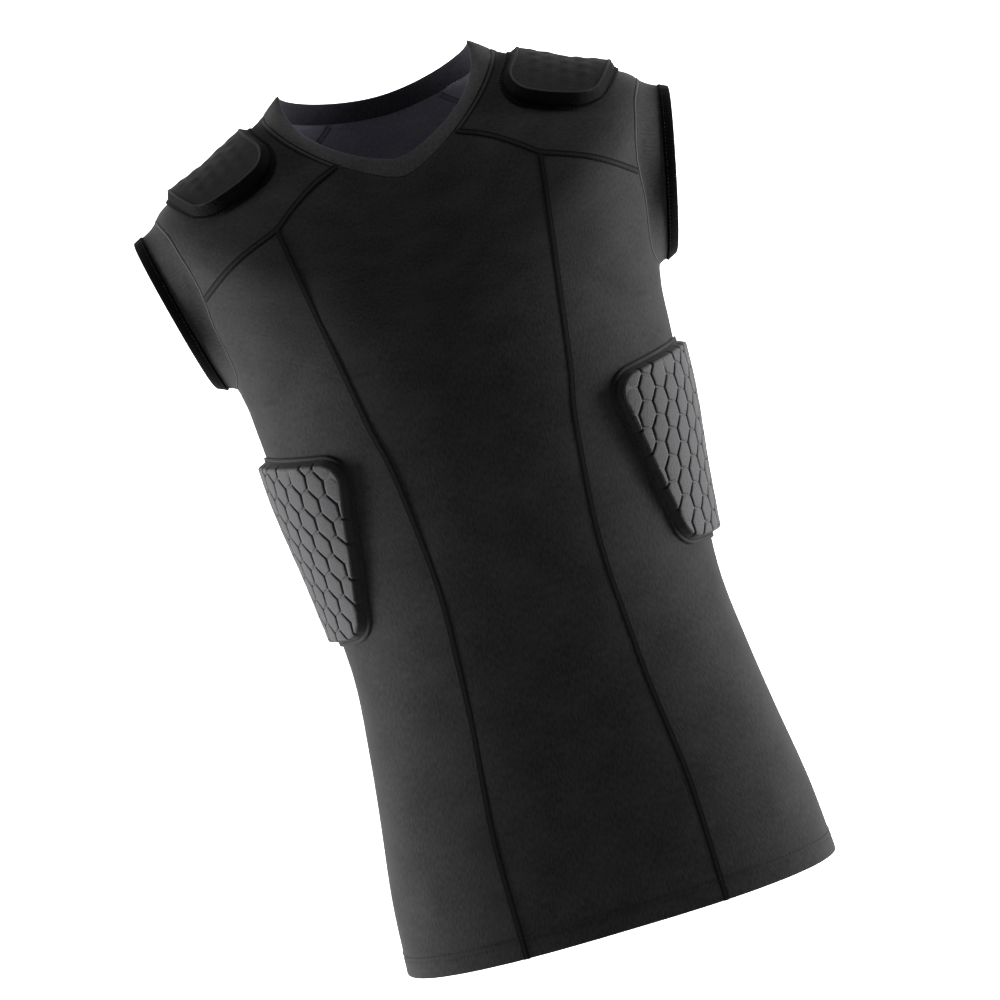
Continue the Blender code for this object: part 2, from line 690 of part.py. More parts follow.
def material(name, hex_colour, roughness):
    """A matt material whose colour is given as it looks on a screen."""
    made = bpy.data.materials.new(name)
    made.use_nodes = True
    shader = made.node_tree.nodes["Principled BSDF"]
    channels = [int(hex_colour[k : k + 2], 16) / 255 for k in (1, 3, 5)]
    shader.inputs["Base Color"].default_value = [to_linear(c) for c in channels] + [1]
    shader.inputs["Roughness"].default_value = roughness
    shader.inputs["Metallic"].default_value = 0
    return made


def add_piece(name, shape, finish, mirrored=False, smooth_angle=0.6):
    """One named solid, on the wearer's left or mirrored to the right."""
    points, faces = shape
    points = points * MM * ([-1, 1, 1] if mirrored else [1, 1, 1])
    mesh = bpy.data.meshes.new(name)
    mesh.from_pydata([tuple(point) for point in points], [], faces)
    shape_edit = bmesh.new()
    shape_edit.from_mesh(mesh)
    bmesh.ops.recalc_face_normals(shape_edit, faces=shape_edit.faces)
    if shape_edit.calc_volume(signed=True) < 0:
        bmesh.ops.reverse_faces(shape_edit, faces=shape_edit.faces)
    shape_edit.to_mesh(mesh)
    shape_edit.free()
    mesh.materials.append(finish)
    mesh.shade_smooth()
    mesh.set_sharp_from_angle(angle=smooth_angle)
    piece = bpy.data.objects.new(name, mesh)
    bpy.context.collection.objects.link(piece)


def build():
    for old in list(bpy.data.objects):
        bpy.data.objects.remove(old, do_unlink=True)
    knit = material("polyester_elastane_knit", "#242426", 0.75)
    rib_knit = material("neckband_rib_knit", "#202022", 0.8)
    elastic = material("black_elastic_binding", "#0b0b0c", 0.7)
    foam = material("moulded_foam_pad", "#5d5d60", 0.7)
    mesh_cover = material("mesh_covered_foam", "#2c2c2e", 0.75)

    seam = seams()
    front = front_panel(seam)
    back = np.stack([front[..., 0], np.pi + front[..., 1]], axis=-1)
    add_piece("front_centre_panel", panel_wall(front)[0], knit)
    add_piece("back_panel", panel_wall(back)[0], knit)
    add_piece("neckband", neckband(seam), rib_knit)

    side, side_skin = panel_wall(side_panel(seam))
    yoke, yoke_skin = panel_wall(yoke_panel(seam))
    sleeve, cuff = sleeve_and_cuff(seam)
    pieces = {
        "side_panel": (side, knit),
        "yoke": (yoke, knit),
        "sleeve": (sleeve, knit),
        "cuff_binding": (cuff, elastic),
        "rib_pad": (rib_pad(side_skin), foam),
        "shoulder_pad": (shoulder_pad(yoke_skin), mesh_cover),
    }
    for hand, mirrored in (("left", False), ("right", True)):
        for name, (shape, finish) in pieces.items():
            add_piece(f"{name}_{hand}", shape, finish, mirrored)


build()
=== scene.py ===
"""Looks for the padded compression shirt: fine cloth, flat seams, stitches and moulded pads.

Lengths are in millimetres up to the meshes, and meshes, camera and lamps are in metres. +Z is up, the
front faces -Y and the wearer's left is at +X. Every piece lies on one figure, where a place is
(along, angle) or (around, along): along is the way up the side line from the hem, angle is 0 at front
centre and a quarter turn at the side, and around is the way from the side line along a level ring.

Flat pieces are modelled in the pattern plane, (around, along, height), and then laid on the figure.
"""

from collections import namedtuple
from math import cos, pi, radians, sin

import bmesh
import bpy
import numpy as np
from mathutils import Matrix, Vector


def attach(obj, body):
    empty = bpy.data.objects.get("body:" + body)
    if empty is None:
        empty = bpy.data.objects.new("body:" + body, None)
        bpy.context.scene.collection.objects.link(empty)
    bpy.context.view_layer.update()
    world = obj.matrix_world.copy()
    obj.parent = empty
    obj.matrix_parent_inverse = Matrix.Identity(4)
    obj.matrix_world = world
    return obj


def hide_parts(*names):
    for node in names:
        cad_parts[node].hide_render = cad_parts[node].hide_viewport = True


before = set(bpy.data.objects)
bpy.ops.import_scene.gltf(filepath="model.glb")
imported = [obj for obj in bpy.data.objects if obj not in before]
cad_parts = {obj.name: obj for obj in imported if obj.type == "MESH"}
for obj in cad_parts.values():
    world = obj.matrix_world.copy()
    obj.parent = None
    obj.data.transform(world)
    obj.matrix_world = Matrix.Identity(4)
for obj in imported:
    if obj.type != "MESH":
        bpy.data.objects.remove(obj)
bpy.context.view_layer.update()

MM = 0.001
CLOTH = 1.5
BAND_CLOTH = 2.0
SEAM_GAP = 0.32

# Camera and studio
CAMERA_DISTANCE = 2.2
CAMERA_HEIGHT = -0.315
CAMERA_LENS = 101.7
CAMERA_ROLL = 16.5


def aim(thing, place, right, up):
    """Stands a camera at a place, by its right and up directions."""
    right, up = Vector(right), Vector(up)
    turned = Matrix((right, up, right.cross(up))).transposed().to_4x4()
    thing.matrix_world = Matrix.Translation(place) @ turned


def make_camera():
    bpy.ops.object.camera_add()
    camera = bpy.context.object
    camera.name = "photo_camera"
    camera.data.lens = CAMERA_LENS
    roll = radians(CAMERA_ROLL)
    aim(camera, (0, -CAMERA_DISTANCE, CAMERA_HEIGHT), (cos(roll), 0, -sin(roll)), (sin(roll), 0, cos(roll)))
    bpy.context.scene.camera = camera


# The figure, as in the part's source

Ring = namedtuple(
    "Ring",
    "name half_width side_y side_z front_y front_z back_y back_z square"
    " front_droop front_bend back_droop back_bend",
)
RINGS = [
    Ring("hem", 172.8, 2, -645, -101, -649, 105, -643, 3.1, 2.4, 0.8, 2.4, 0.8),
    Ring("seat", 169.4, 2, -594, -99, -596, 104, -593, 3.0, 2.4, 0.8, 2.4, 0.8),
    Ring("hip", 160.1, 1, -523, -95, -524, 99, -523, 2.8, 2.4, 0.8, 2.4, 0.8),
    Ring("belly", 154.2, 0, -477, -93, -477, 94, -477, 2.7, 2.4, 0.8, 2.4, 0.8),
    Ring("waist", 148.8, 0, -419, -94, -419, 90, -419, 2.6, 2.4, 0.8, 2.4, 0.8),
    Ring("ribs", 154.2, 0, -345, -101, -345, 98, -345, 2.5, 2.4, 0.8, 2.4, 0.8),
    Ring("under chest", 163.6, 0, -267, -110, -267, 106, -267, 2.45, 2.4, 0.8, 2.4, 0.8),
    Ring("chest", 166.6, 1, -212, -113, -214, 109, -212, 2.4, 2.4, 0.8, 2.4, 0.8),
    Ring("armpit", 171.0, 2, -176, -112, -182, 111, -172, 2.4, 2.4, 0.83, 2.4, 0.83),
    Ring("mid armhole", 185.0, 3, -105, -107, -146, 108, -110, 2.4, 2.4, 0.83, 2.4, 0.83),
    Ring("shoulder tip", 197.0, 4, -33, -100, -113, 100, -62, 2.4, 2.4, 0.83, 2.4, 0.83),
    Ring("shoulder", 140.0, 4, -2, -91, -86, 86, -22, 2.4, 2.0, 0.83, 2.2, 0.9),
    Ring("neck seam", 92.0, 3, 24, -81, -63, 69, 8, 2.3, 1.3, 0.65, 1.7, 1.0),
    Ring("neck edge", 77.0, 2, 35.5, -75, -47, 62, 23, 2.3, 1.35, 0.46, 1.7, 1.0),
]
V_NECK_ROUND = 0.07
TABLE = np.array([ring[1:] for ring in RINGS], float)
STATIONS = np.concatenate([[0.0], np.cumsum(np.hypot(*np.diff(TABLE[:, [0, 2]], axis=0).T))])
STATION = {ring.name: place for ring, place in zip(RINGS, STATIONS)}


def ring_at(along):
    """The ring's columns at a station, by a smooth curve through the table."""
    along = np.clip(np.asarray(along, float), STATIONS[0], STATIONS[-1])
    k = np.clip(np.searchsorted(STATIONS, along, side="right") - 1, 0, len(STATIONS) - 2)
    slopes = np.gradient(TABLE, STATIONS, axis=0)
    width = (STATIONS[k + 1] - STATIONS[k])[..., None]
    t = (along - STATIONS[k])[..., None] / width
    columns = (
        (2 * t**3 - 3 * t**2 + 1) * TABLE[k]
        + (t**3 - 2 * t**2 + t) * width * slopes[k]
        + (3 * t**2 - 2 * t**3) * TABLE[k + 1]
        + (t**3 - t**2) * width * slopes[k + 1]
    )
    return Ring("", *np.moveaxis(columns, -1, 0))


def figure(along, angle):
    """Points of the figure."""
    ring = ring_at(along)
    across, ahead = np.abs(np.sin(angle)), np.cos(angle)
    reach = (across**ring.square + np.abs(ahead) ** ring.square) ** (-1 / ring.square)
    front = ahead > 0
    far_y = np.where(front, ring.front_y, ring.back_y)
    far_z = np.where(front, ring.front_z, ring.back_z)
    droop = np.where(front, ring.front_droop, ring.back_droop)
    bend = np.where(front, ring.front_bend, ring.back_bend)
    x = ring.half_width * reach * np.sin(angle)
    y = ring.side_y + (far_y - ring.side_y) * np.abs(ahead) * reach
    aside = np.clip(np.hypot(across * reach, V_NECK_ROUND), 0, 1)
    fall = np.clip(1 - aside**droop, 0, 1) ** bend
    z = ring.side_z + (far_z - ring.side_z) * fall
    return np.stack([x, y, z], axis=-1)


def unit(vectors):
    return vectors / np.linalg.norm(vectors, axis=-1, keepdims=True)


def outward(along, angle):
    """The figure's outward direction, from its slopes either side of each point."""
    turn, rise = 0.002, 0.4
    across = figure(along, angle + turn) - figure(along, angle - turn)
    up = figure(along + rise, angle) - figure(along - rise, angle)
    return unit(np.cross(across, up))


def around_from_angle(along, angle):
    """The distance along the ring from the side line, forward positive."""
    share = np.linspace(0, 1, 41)
    angles = pi / 2 + (angle[..., None] - pi / 2) * share
    path = figure(np.broadcast_to(along[..., None], angles.shape), angles)
    length = np.linalg.norm(np.diff(path, axis=-2), axis=-1).sum(axis=-1)
    return np.where(angle < pi / 2, length, -length)


HALF_RING = np.linspace(0, pi, 241)
SIDE_LINE = 120


def angle_from_around(around, along):
    """The angle at a signed distance from the side line."""
    angle = np.empty(len(around))
    for first in range(0, len(around), 4000):
        part = slice(first, first + 4000)
        here = along[part]
        path = figure(np.repeat(here[:, None], len(HALF_RING), axis=1), HALF_RING[None])
        run = np.zeros((len(here), len(HALF_RING)))
        run[:, 1:] = np.cumsum(np.linalg.norm(np.diff(path, axis=1), axis=2), axis=1)
        forward = run[:, SIDE_LINE : SIDE_LINE + 1] - run
        wanted = around[part, None]
        k = np.clip((forward > wanted).sum(axis=1) - 1, 0, len(HALF_RING) - 2)[:, None]
        before, after = np.take_along_axis(forward, k, 1), np.take_along_axis(forward, k + 1, 1)
        share = np.clip((before - wanted) / (before - after), 0, 1)
        angle[part] = (HALF_RING[k] + share * (HALF_RING[k + 1] - HALF_RING[k]))[:, 0]
    return angle


# Seams

SeamPoint = namedtuple("SeamPoint", "x z")
PRINCESS_SEAM = [SeamPoint(*row) for row in (
    (77.6, -655), (76.8, -565), (73.0, -519), (68.4, -477), (65.2, -427), (62.9, -385),
    (63.3, -351), (66.4, -314), (71.4, -268), (78.3, -235), (89.2, -165), (96.1, -120),
    (102.8, -73),
)]
YOKE_TO_NECK = [SeamPoint(*row) for row in (
    (102.8, -73), (85.7, -59.4), (67.7, -47.8), (44.8, -38.2),
)]
YOKE_TO_ARMHOLE = [SeamPoint(102.8, -73), SeamPoint(137.3, -86.5)]
ArmholePoint = namedtuple("ArmholePoint", "along spread")
ARMHOLE = [ArmholePoint(*row) for row in (
    (619.0, 0), (617.5, 15), (611.0, 26), (590.0, 30.5), (568.0, 29.5), (553.0, 27.2),
    (526.0, 23.8), (500.0, 22.6), (482.0, 19.5), (474.0, 11), (471.5, 0),
)]
YOKE_MEETS_ARMHOLE = 5
CUFF_TOP_X, CUFF_TOP_Z = 213.0, -41.0
CUFF_BOTTOM_X, CUFF_BOTTOM_Z = 182.5, -172.5
CUFF_Y = 3.0
CUFF_HALF_DEPTH = 43.0
CUFF_SQUARE = 2.25
CUFF_WIDTH = 8.5
CUFF_HEIGHT = 0.95
CUFF_UNDERSIDE = -2.2
CUFF_EDGE_RADIUS = 1.0
CUFF_RIPPLE_HEIGHT = 0.12
CUFF_RIPPLES = 34
CUFF_STITCH_INSET = 1.6

# The size of the cloth's cells, and of the steps along seams and the tapes inside them
CLOTH_STEP = 3.6
SEAM_STEP = 1.1
TAPE_STEP = 1.6
HEM_TURN_UP = 15.0
HEM_STITCHES = HEM_TURN_UP - 1.5


def locate(seam):
    """The (along, angle) of front-view points on the front of the figure."""
    x, z = np.asarray(seam, float).T
    low, high = np.zeros(len(x)), np.full(len(x), STATIONS[-1])
    for _ in range(45):
        along = (low + high) / 2
        ring = ring_at(along)
        side = np.clip(x / ring.half_width, 0, 1)
        angle = np.arctan2(side, (1 - side**ring.square) ** (1 / ring.square))
        below = figure(along, angle)[:, 2] < z
        low, high = np.where(below, along, low), np.where(below, high, along)
    return np.stack([along, angle], axis=1)


def smooth(points, closed=False):
    """A dense, smooth curve through the points, which it keeps."""
    points = np.asarray(points, float)
    if closed:
        padded = np.concatenate([points[-1:], points, points[:2]])
    else:
        before, after = 2 * points[0] - points[1], 2 * points[-1] - points[-2]
        padded = np.concatenate([[before], points, [after]])
    t = np.linspace(0, 1, 16, endpoint=False)[:, None]
    pieces = []
    for a, b, c, d in zip(padded, padded[1:], padded[2:], padded[3:]):
        bow = 2 * a - 5 * b + 4 * c - d
        twist = 3 * b - 3 * c + d - a
        pieces.append(b + t / 2 * (c - a + t * (bow + t * twist)))
    end = points[:1] if closed else points[-1:]
    return np.concatenate(pieces + [end])


def round_ring(points):
    """The way round a closed ring at each of its points, not to unit length."""
    return np.roll(points, -1, axis=0) - np.roll(points, 1, axis=0)


def closed_line(points):
    """A ring's points with the first again at the end."""
    return np.concatenate([points, points[:1]])


def lengths(points):
    """The distance along a line of points, from its start to each of them."""
    return np.concatenate([[0.0], np.cumsum(np.linalg.norm(np.diff(points, axis=0), axis=1))])


def taken_at(path, shares):
    """An (along, angle) path's points at shares of its length on the figure."""
    run = lengths(figure(path[:, 0], path[:, 1]))
    return np.stack([np.interp(np.asarray(shares) * run[-1], run, column) for column in path.T], axis=1)


def to_back(path):
    """An (along, angle) path turned to the same place at the back."""
    return path * [1, -1] + [0, pi]


def to_right(path):
    """An (along, angle) path mirrored to the wearer's right."""
    return path * [1, -1]


def level(name, first_angle, last_angle):
    """Part of a ring."""
    angles = np.linspace(first_angle, last_angle, 90)
    return np.stack([np.full(90, STATION[name]), angles], axis=1)


def seam_paths():
    """The seams of the wearer's left half."""
    to_neck = locate(smooth(YOKE_TO_NECK))
    to_neck[-1, 0] = STATION["neck seam"]
    half = np.array(ARMHOLE) * [1, pi / 180]
    front_half = half * [1, -1] + [0, pi / 2]
    back_half = (half + [0, pi / 2])[-2:0:-1]
    armhole = smooth(np.concatenate([front_half, back_half]), closed=True)
    meets = half[YOKE_MEETS_ARMHOLE] * [1, -1] + [0, pi / 2]
    first = int(np.argmin(np.abs(armhole - meets).sum(axis=1)))
    last = int(np.argmin(np.abs(armhole - to_back(meets)).sum(axis=1)))
    neck_angle = to_neck[-1, 1]
    end = figure(*meets)[[0, 2]]
    to_armhole = locate(smooth(YOKE_TO_ARMHOLE + [SeamPoint(*end)]))
    to_armhole[-1] = meets
    return {
        "princess": locate(smooth(PRINCESS_SEAM)),
        "yoke to neck": to_neck,
        "yoke to armhole": to_armhole,
        "under arm": armhole[first : last + 1],
        "over arm": np.concatenate([armhole[last:], armhole[1 : first + 1]])[::-1],
        "front neck": level("neck seam", -neck_angle, neck_angle),
        "yoke neck": level("neck seam", neck_angle, pi - neck_angle),
    }


SEAM = seam_paths()


def patch(bottom, top, left, right, across, up):
    """A grid between four paths that share their corners, at shares across and up."""
    bottom, top = taken_at(bottom, across), taken_at(top, across)
    left, right = taken_at(left, up), taken_at(right, up)
    u, v = np.asarray(across)[None, :, None], np.asarray(up)[:, None, None]
    corners = (1 - v) * ((1 - u) * bottom[0] + u * bottom[-1])
    corners = corners + v * ((1 - u) * top[0] + u * top[-1])
    return (1 - v) * bottom + v * top + (1 - u) * left[:, None] + u * right[:, None] - corners


def even(length):
    """Even shares of a length, a cloth step apart."""
    return np.linspace(0, 1, max(2, int(length / CLOTH_STEP + 0.5)) + 1)


def from_hem(length):
    """Shares of a length that are close together over the hem's turned-up edge."""
    turned = np.linspace(0, HEM_TURN_UP + 3, 16) / length
    return np.concatenate([turned[:-1], turned[-1] + (1 - turned[-1]) * even(length)])


# Modelling


def deselect():
    bpy.ops.object.select_all(action="DESELECT")


def take(piece):
    """Makes a piece the one that operators act on."""
    deselect()
    piece.select_set(True)
    bpy.context.view_layer.objects.active = piece


def edit(piece):
    """Goes into edit mode on a piece, with nothing selected."""
    take(piece)
    bpy.ops.object.mode_set(mode="EDIT")
    bpy.ops.mesh.select_mode(type="FACE")
    bpy.ops.mesh.select_all(action="DESELECT")


def select_whole():
    bpy.ops.mesh.select_all(action="SELECT")


def leave():
    bpy.ops.object.mode_set(mode="OBJECT")


def named(name):
    piece = bpy.context.object
    piece.name = piece.data.name = name
    return piece


def points_of(piece):
    flat = np.empty(len(piece.data.vertices) * 3)
    piece.data.vertices.foreach_get("co", flat)
    return flat.reshape(-1, 3)


def move_points(piece, points):
    piece.data.vertices.foreach_set("co", np.ascontiguousarray(points, float).ravel())
    piece.data.update()


def modified(piece, kind, **settings):
    """Gives a piece one modifier and applies it."""
    take(piece)
    tool = piece.modifiers.new(kind.lower(), kind)
    for name, value in settings.items():
        setattr(tool, name, value)
    bpy.ops.object.modifier_apply(modifier=tool.name)


def net(name, points, pattern):
    """A grid primitive laid on rows of points, with its pattern places as the UV map, all in mm."""
    rows, columns = points.shape[:2]
    deselect()
    bpy.ops.mesh.primitive_grid_add(x_subdivisions=columns - 1, y_subdivisions=rows - 1, size=1)
    piece = named(name)
    start = points_of(piece)
    column = np.rint((start[:, 0] + 0.5) * (columns - 1)).astype(int)
    row = np.rint((start[:, 1] + 0.5) * (rows - 1)).astype(int)
    move_points(piece, points[row, column] * MM)
    corners = np.empty(len(piece.data.loops), int)
    piece.data.loops.foreach_get("vertex_index", corners)
    places = pattern[row, column][corners] * MM
    piece.data.uv_layers[0].name = "cloth"
    piece.data.uv_layers[0].data.foreach_set("uv", np.ascontiguousarray(places).ravel())
    return piece


def closed_up(piece):
    """Joins a net's edges where they meet."""
    edit(piece)
    select_whole()
    bpy.ops.mesh.remove_doubles(threshold=0.00002)
    leave()


def shaded(piece, angle=35):
    take(piece)
    bpy.ops.object.shade_smooth_by_angle(angle=radians(angle))


def mirrored(piece, name):
    """A copy on the wearer's right, turned the right way out again."""
    take(piece)
    bpy.ops.object.duplicate()
    copy = named(name)
    move_points(copy, points_of(copy) * [-1, 1, 1])
    edit(copy)
    select_whole()
    bpy.ops.mesh.flip_normals()
    leave()
    return copy


def in_pair(left):
    """The wearer's left piece and its mirrored right one, each with its hand."""
    return ("left", left), ("right", mirrored(left, left.name.replace("left", "right")))


def finished(piece, slot, *finishes, stands_for=()):
    """Rides the piece on the shirt, and gives it its materials where it has none."""
    if finishes:
        piece.data.materials.clear()
        for finish in finishes:
            piece.data.materials.append(finish)
    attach(piece, "root")
    if stands_for:
        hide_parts(*stands_for)
    return piece


# Materials


def linear(hex_colour):
    channels = [int(hex_colour[k : k + 2], 16) / 255 for k in (1, 3, 5)]
    return [c / 12.92 if c <= 0.04045 else ((c + 0.055) / 1.055) ** 2.4 for c in channels] + [1]


def add_node(tree, kind, inputs=None, **settings):
    """A node with its settings, and its inputs set or linked."""
    node = tree.nodes.new(kind)
    for name, value in settings.items():
        setattr(node, name, value)
    for name, value in (inputs or {}).items():
        if isinstance(value, bpy.types.NodeSocket):
            tree.links.new(value, node.inputs[name])
        else:
            node.inputs[name].default_value = value
    return node


def start_material(name, roughness, sheen, sheen_roughness, specular):
    """A cloth or foam surface whose even values sit on the shader's own sockets."""
    made = bpy.data.materials.new(name)
    made.use_nodes = True
    shader = made.node_tree.nodes["Principled BSDF"]
    shader.inputs["Roughness"].default_value = roughness
    shader.inputs["Metallic"].default_value = 0
    shader.inputs["Sheen Weight"].default_value = sheen
    shader.inputs["Sheen Roughness"].default_value = sheen_roughness
    shader.inputs["Specular IOR Level"].default_value = specular
    return made, made.node_tree, shader


def waves(tree, coordinate, spacing):
    """Even waves across the cloth, their spacing in metres. A Wave texture turns 20 times a unit."""
    wave = add_node(
        tree,
        "ShaderNodeTexWave",
        {"Vector": coordinate, "Scale": 2 * pi / 20 / spacing},
        bands_direction="X",
        wave_profile="SIN",
    )
    return wave.outputs["Fac"]


def blended(tree, share, first, second, kind="RGBA", blend="MIX"):
    mix = add_node(tree, "ShaderNodeMix", {"Factor": share}, data_type=kind, blend_type=blend)
    letters = {"RGBA": (6, 7, 2), "FLOAT": (2, 3, 0)}[kind]
    for socket, value in zip(letters[:2], (first, second)):
        if isinstance(value, bpy.types.NodeSocket):
            tree.links.new(value, mix.inputs[socket])
        else:
            mix.inputs[socket].default_value = value
    return mix.outputs[letters[2]]


def noise(tree, place, scale, detail, roughness=0.5):
    """Cloudy noise, its scale in turns a metre."""
    inputs = {"Vector": place, "Scale": scale, "Detail": detail, "Roughness": roughness}
    return add_node(tree, "ShaderNodeTexNoise", inputs).outputs["Fac"]


def surfaced(tree, shader, colour, height, strength, distance, invert=False):
    """Links a colour to the shader, and a height in the weave as its fine relief."""
    tree.links.new(colour, shader.inputs["Base Color"])
    inputs = {"Height": height, "Strength": strength, "Distance": distance}
    bump = add_node(tree, "ShaderNodeBump", inputs, invert=invert)
    tree.links.new(bump.outputs["Normal"], shader.inputs["Normal"])


def cloth_map(tree):
    return add_node(tree, "ShaderNodeUVMap", uv_map="cloth").outputs["UV"]


def knit(name, dark, light, sheen=0.055):
    """Warp-knitted polyester with elastane: matt, close and smooth, in short streaks up the piece."""
    made, tree, shader = start_material(name, 0.8, sheen, 0.45, 0.04)
    place = cloth_map(tree)
    drawn = add_node(tree, "ShaderNodeMapping", {"Vector": place, "Scale": (1, 0.35, 1)}).outputs["Vector"]
    # Yarn lies unevenly in short streaks 1 to 2 mm wide, drawn coarser than the real half millimetre.
    streak = noise(tree, drawn, 640, 2, 0.6)
    tone = blended(tree, 0.35, streak, noise(tree, place, 28, 2), "FLOAT")
    ramp = add_node(tree, "ShaderNodeMapRange", {"Value": tone, "From Min": 0.35, "From Max": 0.65})
    colour = blended(tree, ramp.outputs["Result"], linear(dark), linear(light))
    surfaced(tree, shader, colour, streak, 0.3, 0.0004)
    return made


def flatlock(name, edge, middle, sheen):
    """A flat seam's cover threads: textured polyester looped from side to side over the join."""
    made, tree, shader = start_material(name, 0.8, sheen, 0.5, 0.03)
    place = cloth_map(tree)
    parts = add_node(tree, "ShaderNodeSeparateXYZ", {"Vector": place})
    # The map runs 0 to 6 mm across the seam. The needle lines near its two edges are darker: dark thread,
    # and painted shade where the seam steps down to the cloth.
    across = add_node(tree, "ShaderNodeMapRange", {"Value": parts.outputs["Y"], "From Max": 0.006})
    ramp = add_node(tree, "ShaderNodeValToRGB", {"Fac": across.outputs["Result"]})
    stops = ramp.color_ramp.elements
    stops[0].position, stops[1].position = 0.0, 1.0
    stops[0].color = stops[1].color = linear(edge)
    for position, colour in ((0.22, edge), (0.33, middle), (0.67, middle), (0.78, edge)):
        stops.new(position).color = linear(colour)
    # Cover threads cross at a slant every 2.4 mm, a real pitch.
    slant = add_node(tree, "ShaderNodeMath", {0: parts.outputs["Y"], 1: 0.6, 2: parts.outputs["X"]},
                     operation="MULTIPLY_ADD")
    lean = add_node(tree, "ShaderNodeCombineXYZ", {"X": slant.outputs["Value"]})
    loops = waves(tree, lean.outputs["Vector"], 0.0024)
    worn = {"Value": noise(tree, place, 500, 3), "From Min": 0.3, "From Max": 0.7, "To Min": 0.7}
    shade = add_node(tree, "ShaderNodeMapRange", {**worn, "To Max": 1.25})
    colour = blended(tree, 1.0, ramp.outputs["Color"], shade.outputs["Result"], blend="MULTIPLY")
    surfaced(tree, shader, colour, loops, 0.35, 0.0003)
    return made


def foam(name, dark, light, spacing, depth, sheen, specular=0.2):
    """Knit or mesh laminated to moulded foam: a matt skin with fine pores, a spacing apart."""
    made, tree, shader = start_material(name, 0.75, sheen, 0.5, specular)
    place = add_node(tree, "ShaderNodeTexCoord").outputs["Object"]
    pores = add_node(tree, "ShaderNodeTexVoronoi", {"Vector": place, "Scale": 1 / spacing})
    rim = add_node(tree, "ShaderNodeMapRange", {"Value": pores.outputs["Distance"], "From Max": 0.7})
    tone = blended(tree, 0.45, rim.outputs["Result"], noise(tree, place, 60, 3), "FLOAT")
    colour = blended(tree, tone, linear(light), linear(dark))
    surfaced(tree, shader, colour, pores.outputs["Distance"], 0.4, depth, invert=True)
    return made


def elastic(name, dark, light):
    """Woven elastic binding: close black ribs across a matt synthetic tape."""
    made, tree, shader = start_material(name, 0.75, 0.01, 0.4, 0.03)
    place = cloth_map(tree)
    # Real ribs are 0.6 mm apart, drawn 1.8 mm apart so that they show.
    ribs = waves(tree, place, 0.0018)
    colour = blended(tree, noise(tree, place, 300, 3), linear(dark), linear(light))
    surfaced(tree, shader, colour, ribs, 0.5, 0.0004)
    return made


def thread(name, colour):
    """Bonded polyester sewing thread, twisted, with a slight shine."""
    made, tree, shader = start_material(name, 0.6, 0.05, 0.4, 0.12)
    place = add_node(tree, "ShaderNodeTexCoord").outputs["Object"]
    tone = blended(tree, noise(tree, place, 1600, 1), linear(colour), linear("#000000"))
    tree.links.new(tone, shader.inputs["Base Color"])
    return made


FACE_KNIT = knit("warp_knit_polyester_elastane_face", "#181818", "#262626")
# The shirt's inside is painted far lighter than its face: painted fill light for the little light that
# reaches in through the neck and armholes.
INNER_KNIT_PAINTED_FILL = knit("warp_knit_polyester_elastane_inside", "#565560", "#686771")
BAND_KNIT = knit("doubled_knit_neckband", "#2a2a2a", "#3a3a3a")
BAND_INSIDE = knit("doubled_knit_neckband_inside", "#25242a", "#323137", sheen=0.04)
DARK_SEAM = flatlock("flatlock_seam_black_thread", "#090909", "#131313", 0.03)
YOKE_SEAM = flatlock("flatlock_seam_yoke_thread", "#060606", "#191919", 0.03)
LIGHT_SEAM = flatlock("flatlock_seam_grey_thread", "#070707", "#2c2c2c", 0.08)
INNER_TAPE_KNIT = flatlock("knit_tape_inside_seams", "#42414a", "#52515a", 0.04)
CUFF_ELASTIC = elastic("woven_black_elastic", "#010101", "#030303")
CELL_FOAM = foam("grey_knit_on_moulded_foam_cells", "#1b1b1d", "#29292b", 0.0016, 0.0004, 0.1)
# The groove floors, the flange's outer rim and the pad's underside are painted darker than the cells:
# painted shade.
GROOVE_PAINTED_SHADE_FOAM = foam("foam_grooves_painted_shade", "#0f0f10", "#1a1a1b", 0.0016, 0.0002, 0.03, 0.08)
# The pad's wall is painted darker than its cells: painted shade on the wall below the pad's face.
WALL_PAINTED_SHADE_FOAM = foam("pressed_foam_wall", "#151516", "#202021", 0.0018, 0.0004, 0.03, 0.08)
FLANGE_KNIT = foam("sewn_pad_flange", "#111112", "#1b1b1c", 0.0014, 0.0003, 0.06, 0.1)
TOP_MESH = foam("mesh_on_shoulder_foam", "#0e0e0e", "#191919", 0.0017, 0.0005, 0.02, 0.05)
# The shoulder pad's edge is painted a little lighter than its top: a painted highlight along its rounded
# rim.
EDGE_MESH_PAINTED_HIGHLIGHT = foam("shoulder_foam_edge_painted_highlight", "#131313", "#1d1d1d", 0.0017, 0.0002, 0.04, 0.06)
SPACER_MESH = foam("black_spacer_mesh", "#030303", "#080808", 0.0022, 0.0008, 0.01, 0.03)
BLACK_THREAD = thread("bonded_black_thread", "#080808")


# Cloth


def drawn_in(points, normals):
    """A net's points with its edge moved half a seam gap inwards."""
    rows, columns = points.shape[:2]
    index = np.arange(rows * columns).reshape(rows, columns)
    rim = np.concatenate([index[0], index[1:, -1], index[-1, -2::-1], index[-2:0:-1, 0]])
    points = points.copy()
    flat, facing = points.reshape(-1, 3), normals.reshape(-1, 3)[rim]
    edge = flat[rim]
    before = unit(np.cross(facing, edge - np.roll(edge, 1, axis=0)))
    after = unit(np.cross(facing, np.roll(edge, -1, axis=0) - edge))
    inward = before + after
    flat[rim] = edge + inward / (1 + (before * after).sum(axis=1, keepdims=True)) * SEAM_GAP / 2
    return points


# The stretched cloth's waves, its pulls in the hollow of the chest, and its turned-up hem
WAVE_HEIGHT = 0.35
PULL_HEIGHT = 0.5
PULL_ALONG, PULL_LENGTH = 455, 42
PULL_ASIDE, PULL_WIDTH = 28, 30
TURN_UP_HEIGHT = 0.5
HEM_GROOVE_DEPTH, HEM_GROOVE_WIDTH = 0.35, 0.9


def hump(place, middle, width):
    """A smooth rise and fall, 1 at its middle."""
    return np.exp(-(((place - middle) / width) ** 2))


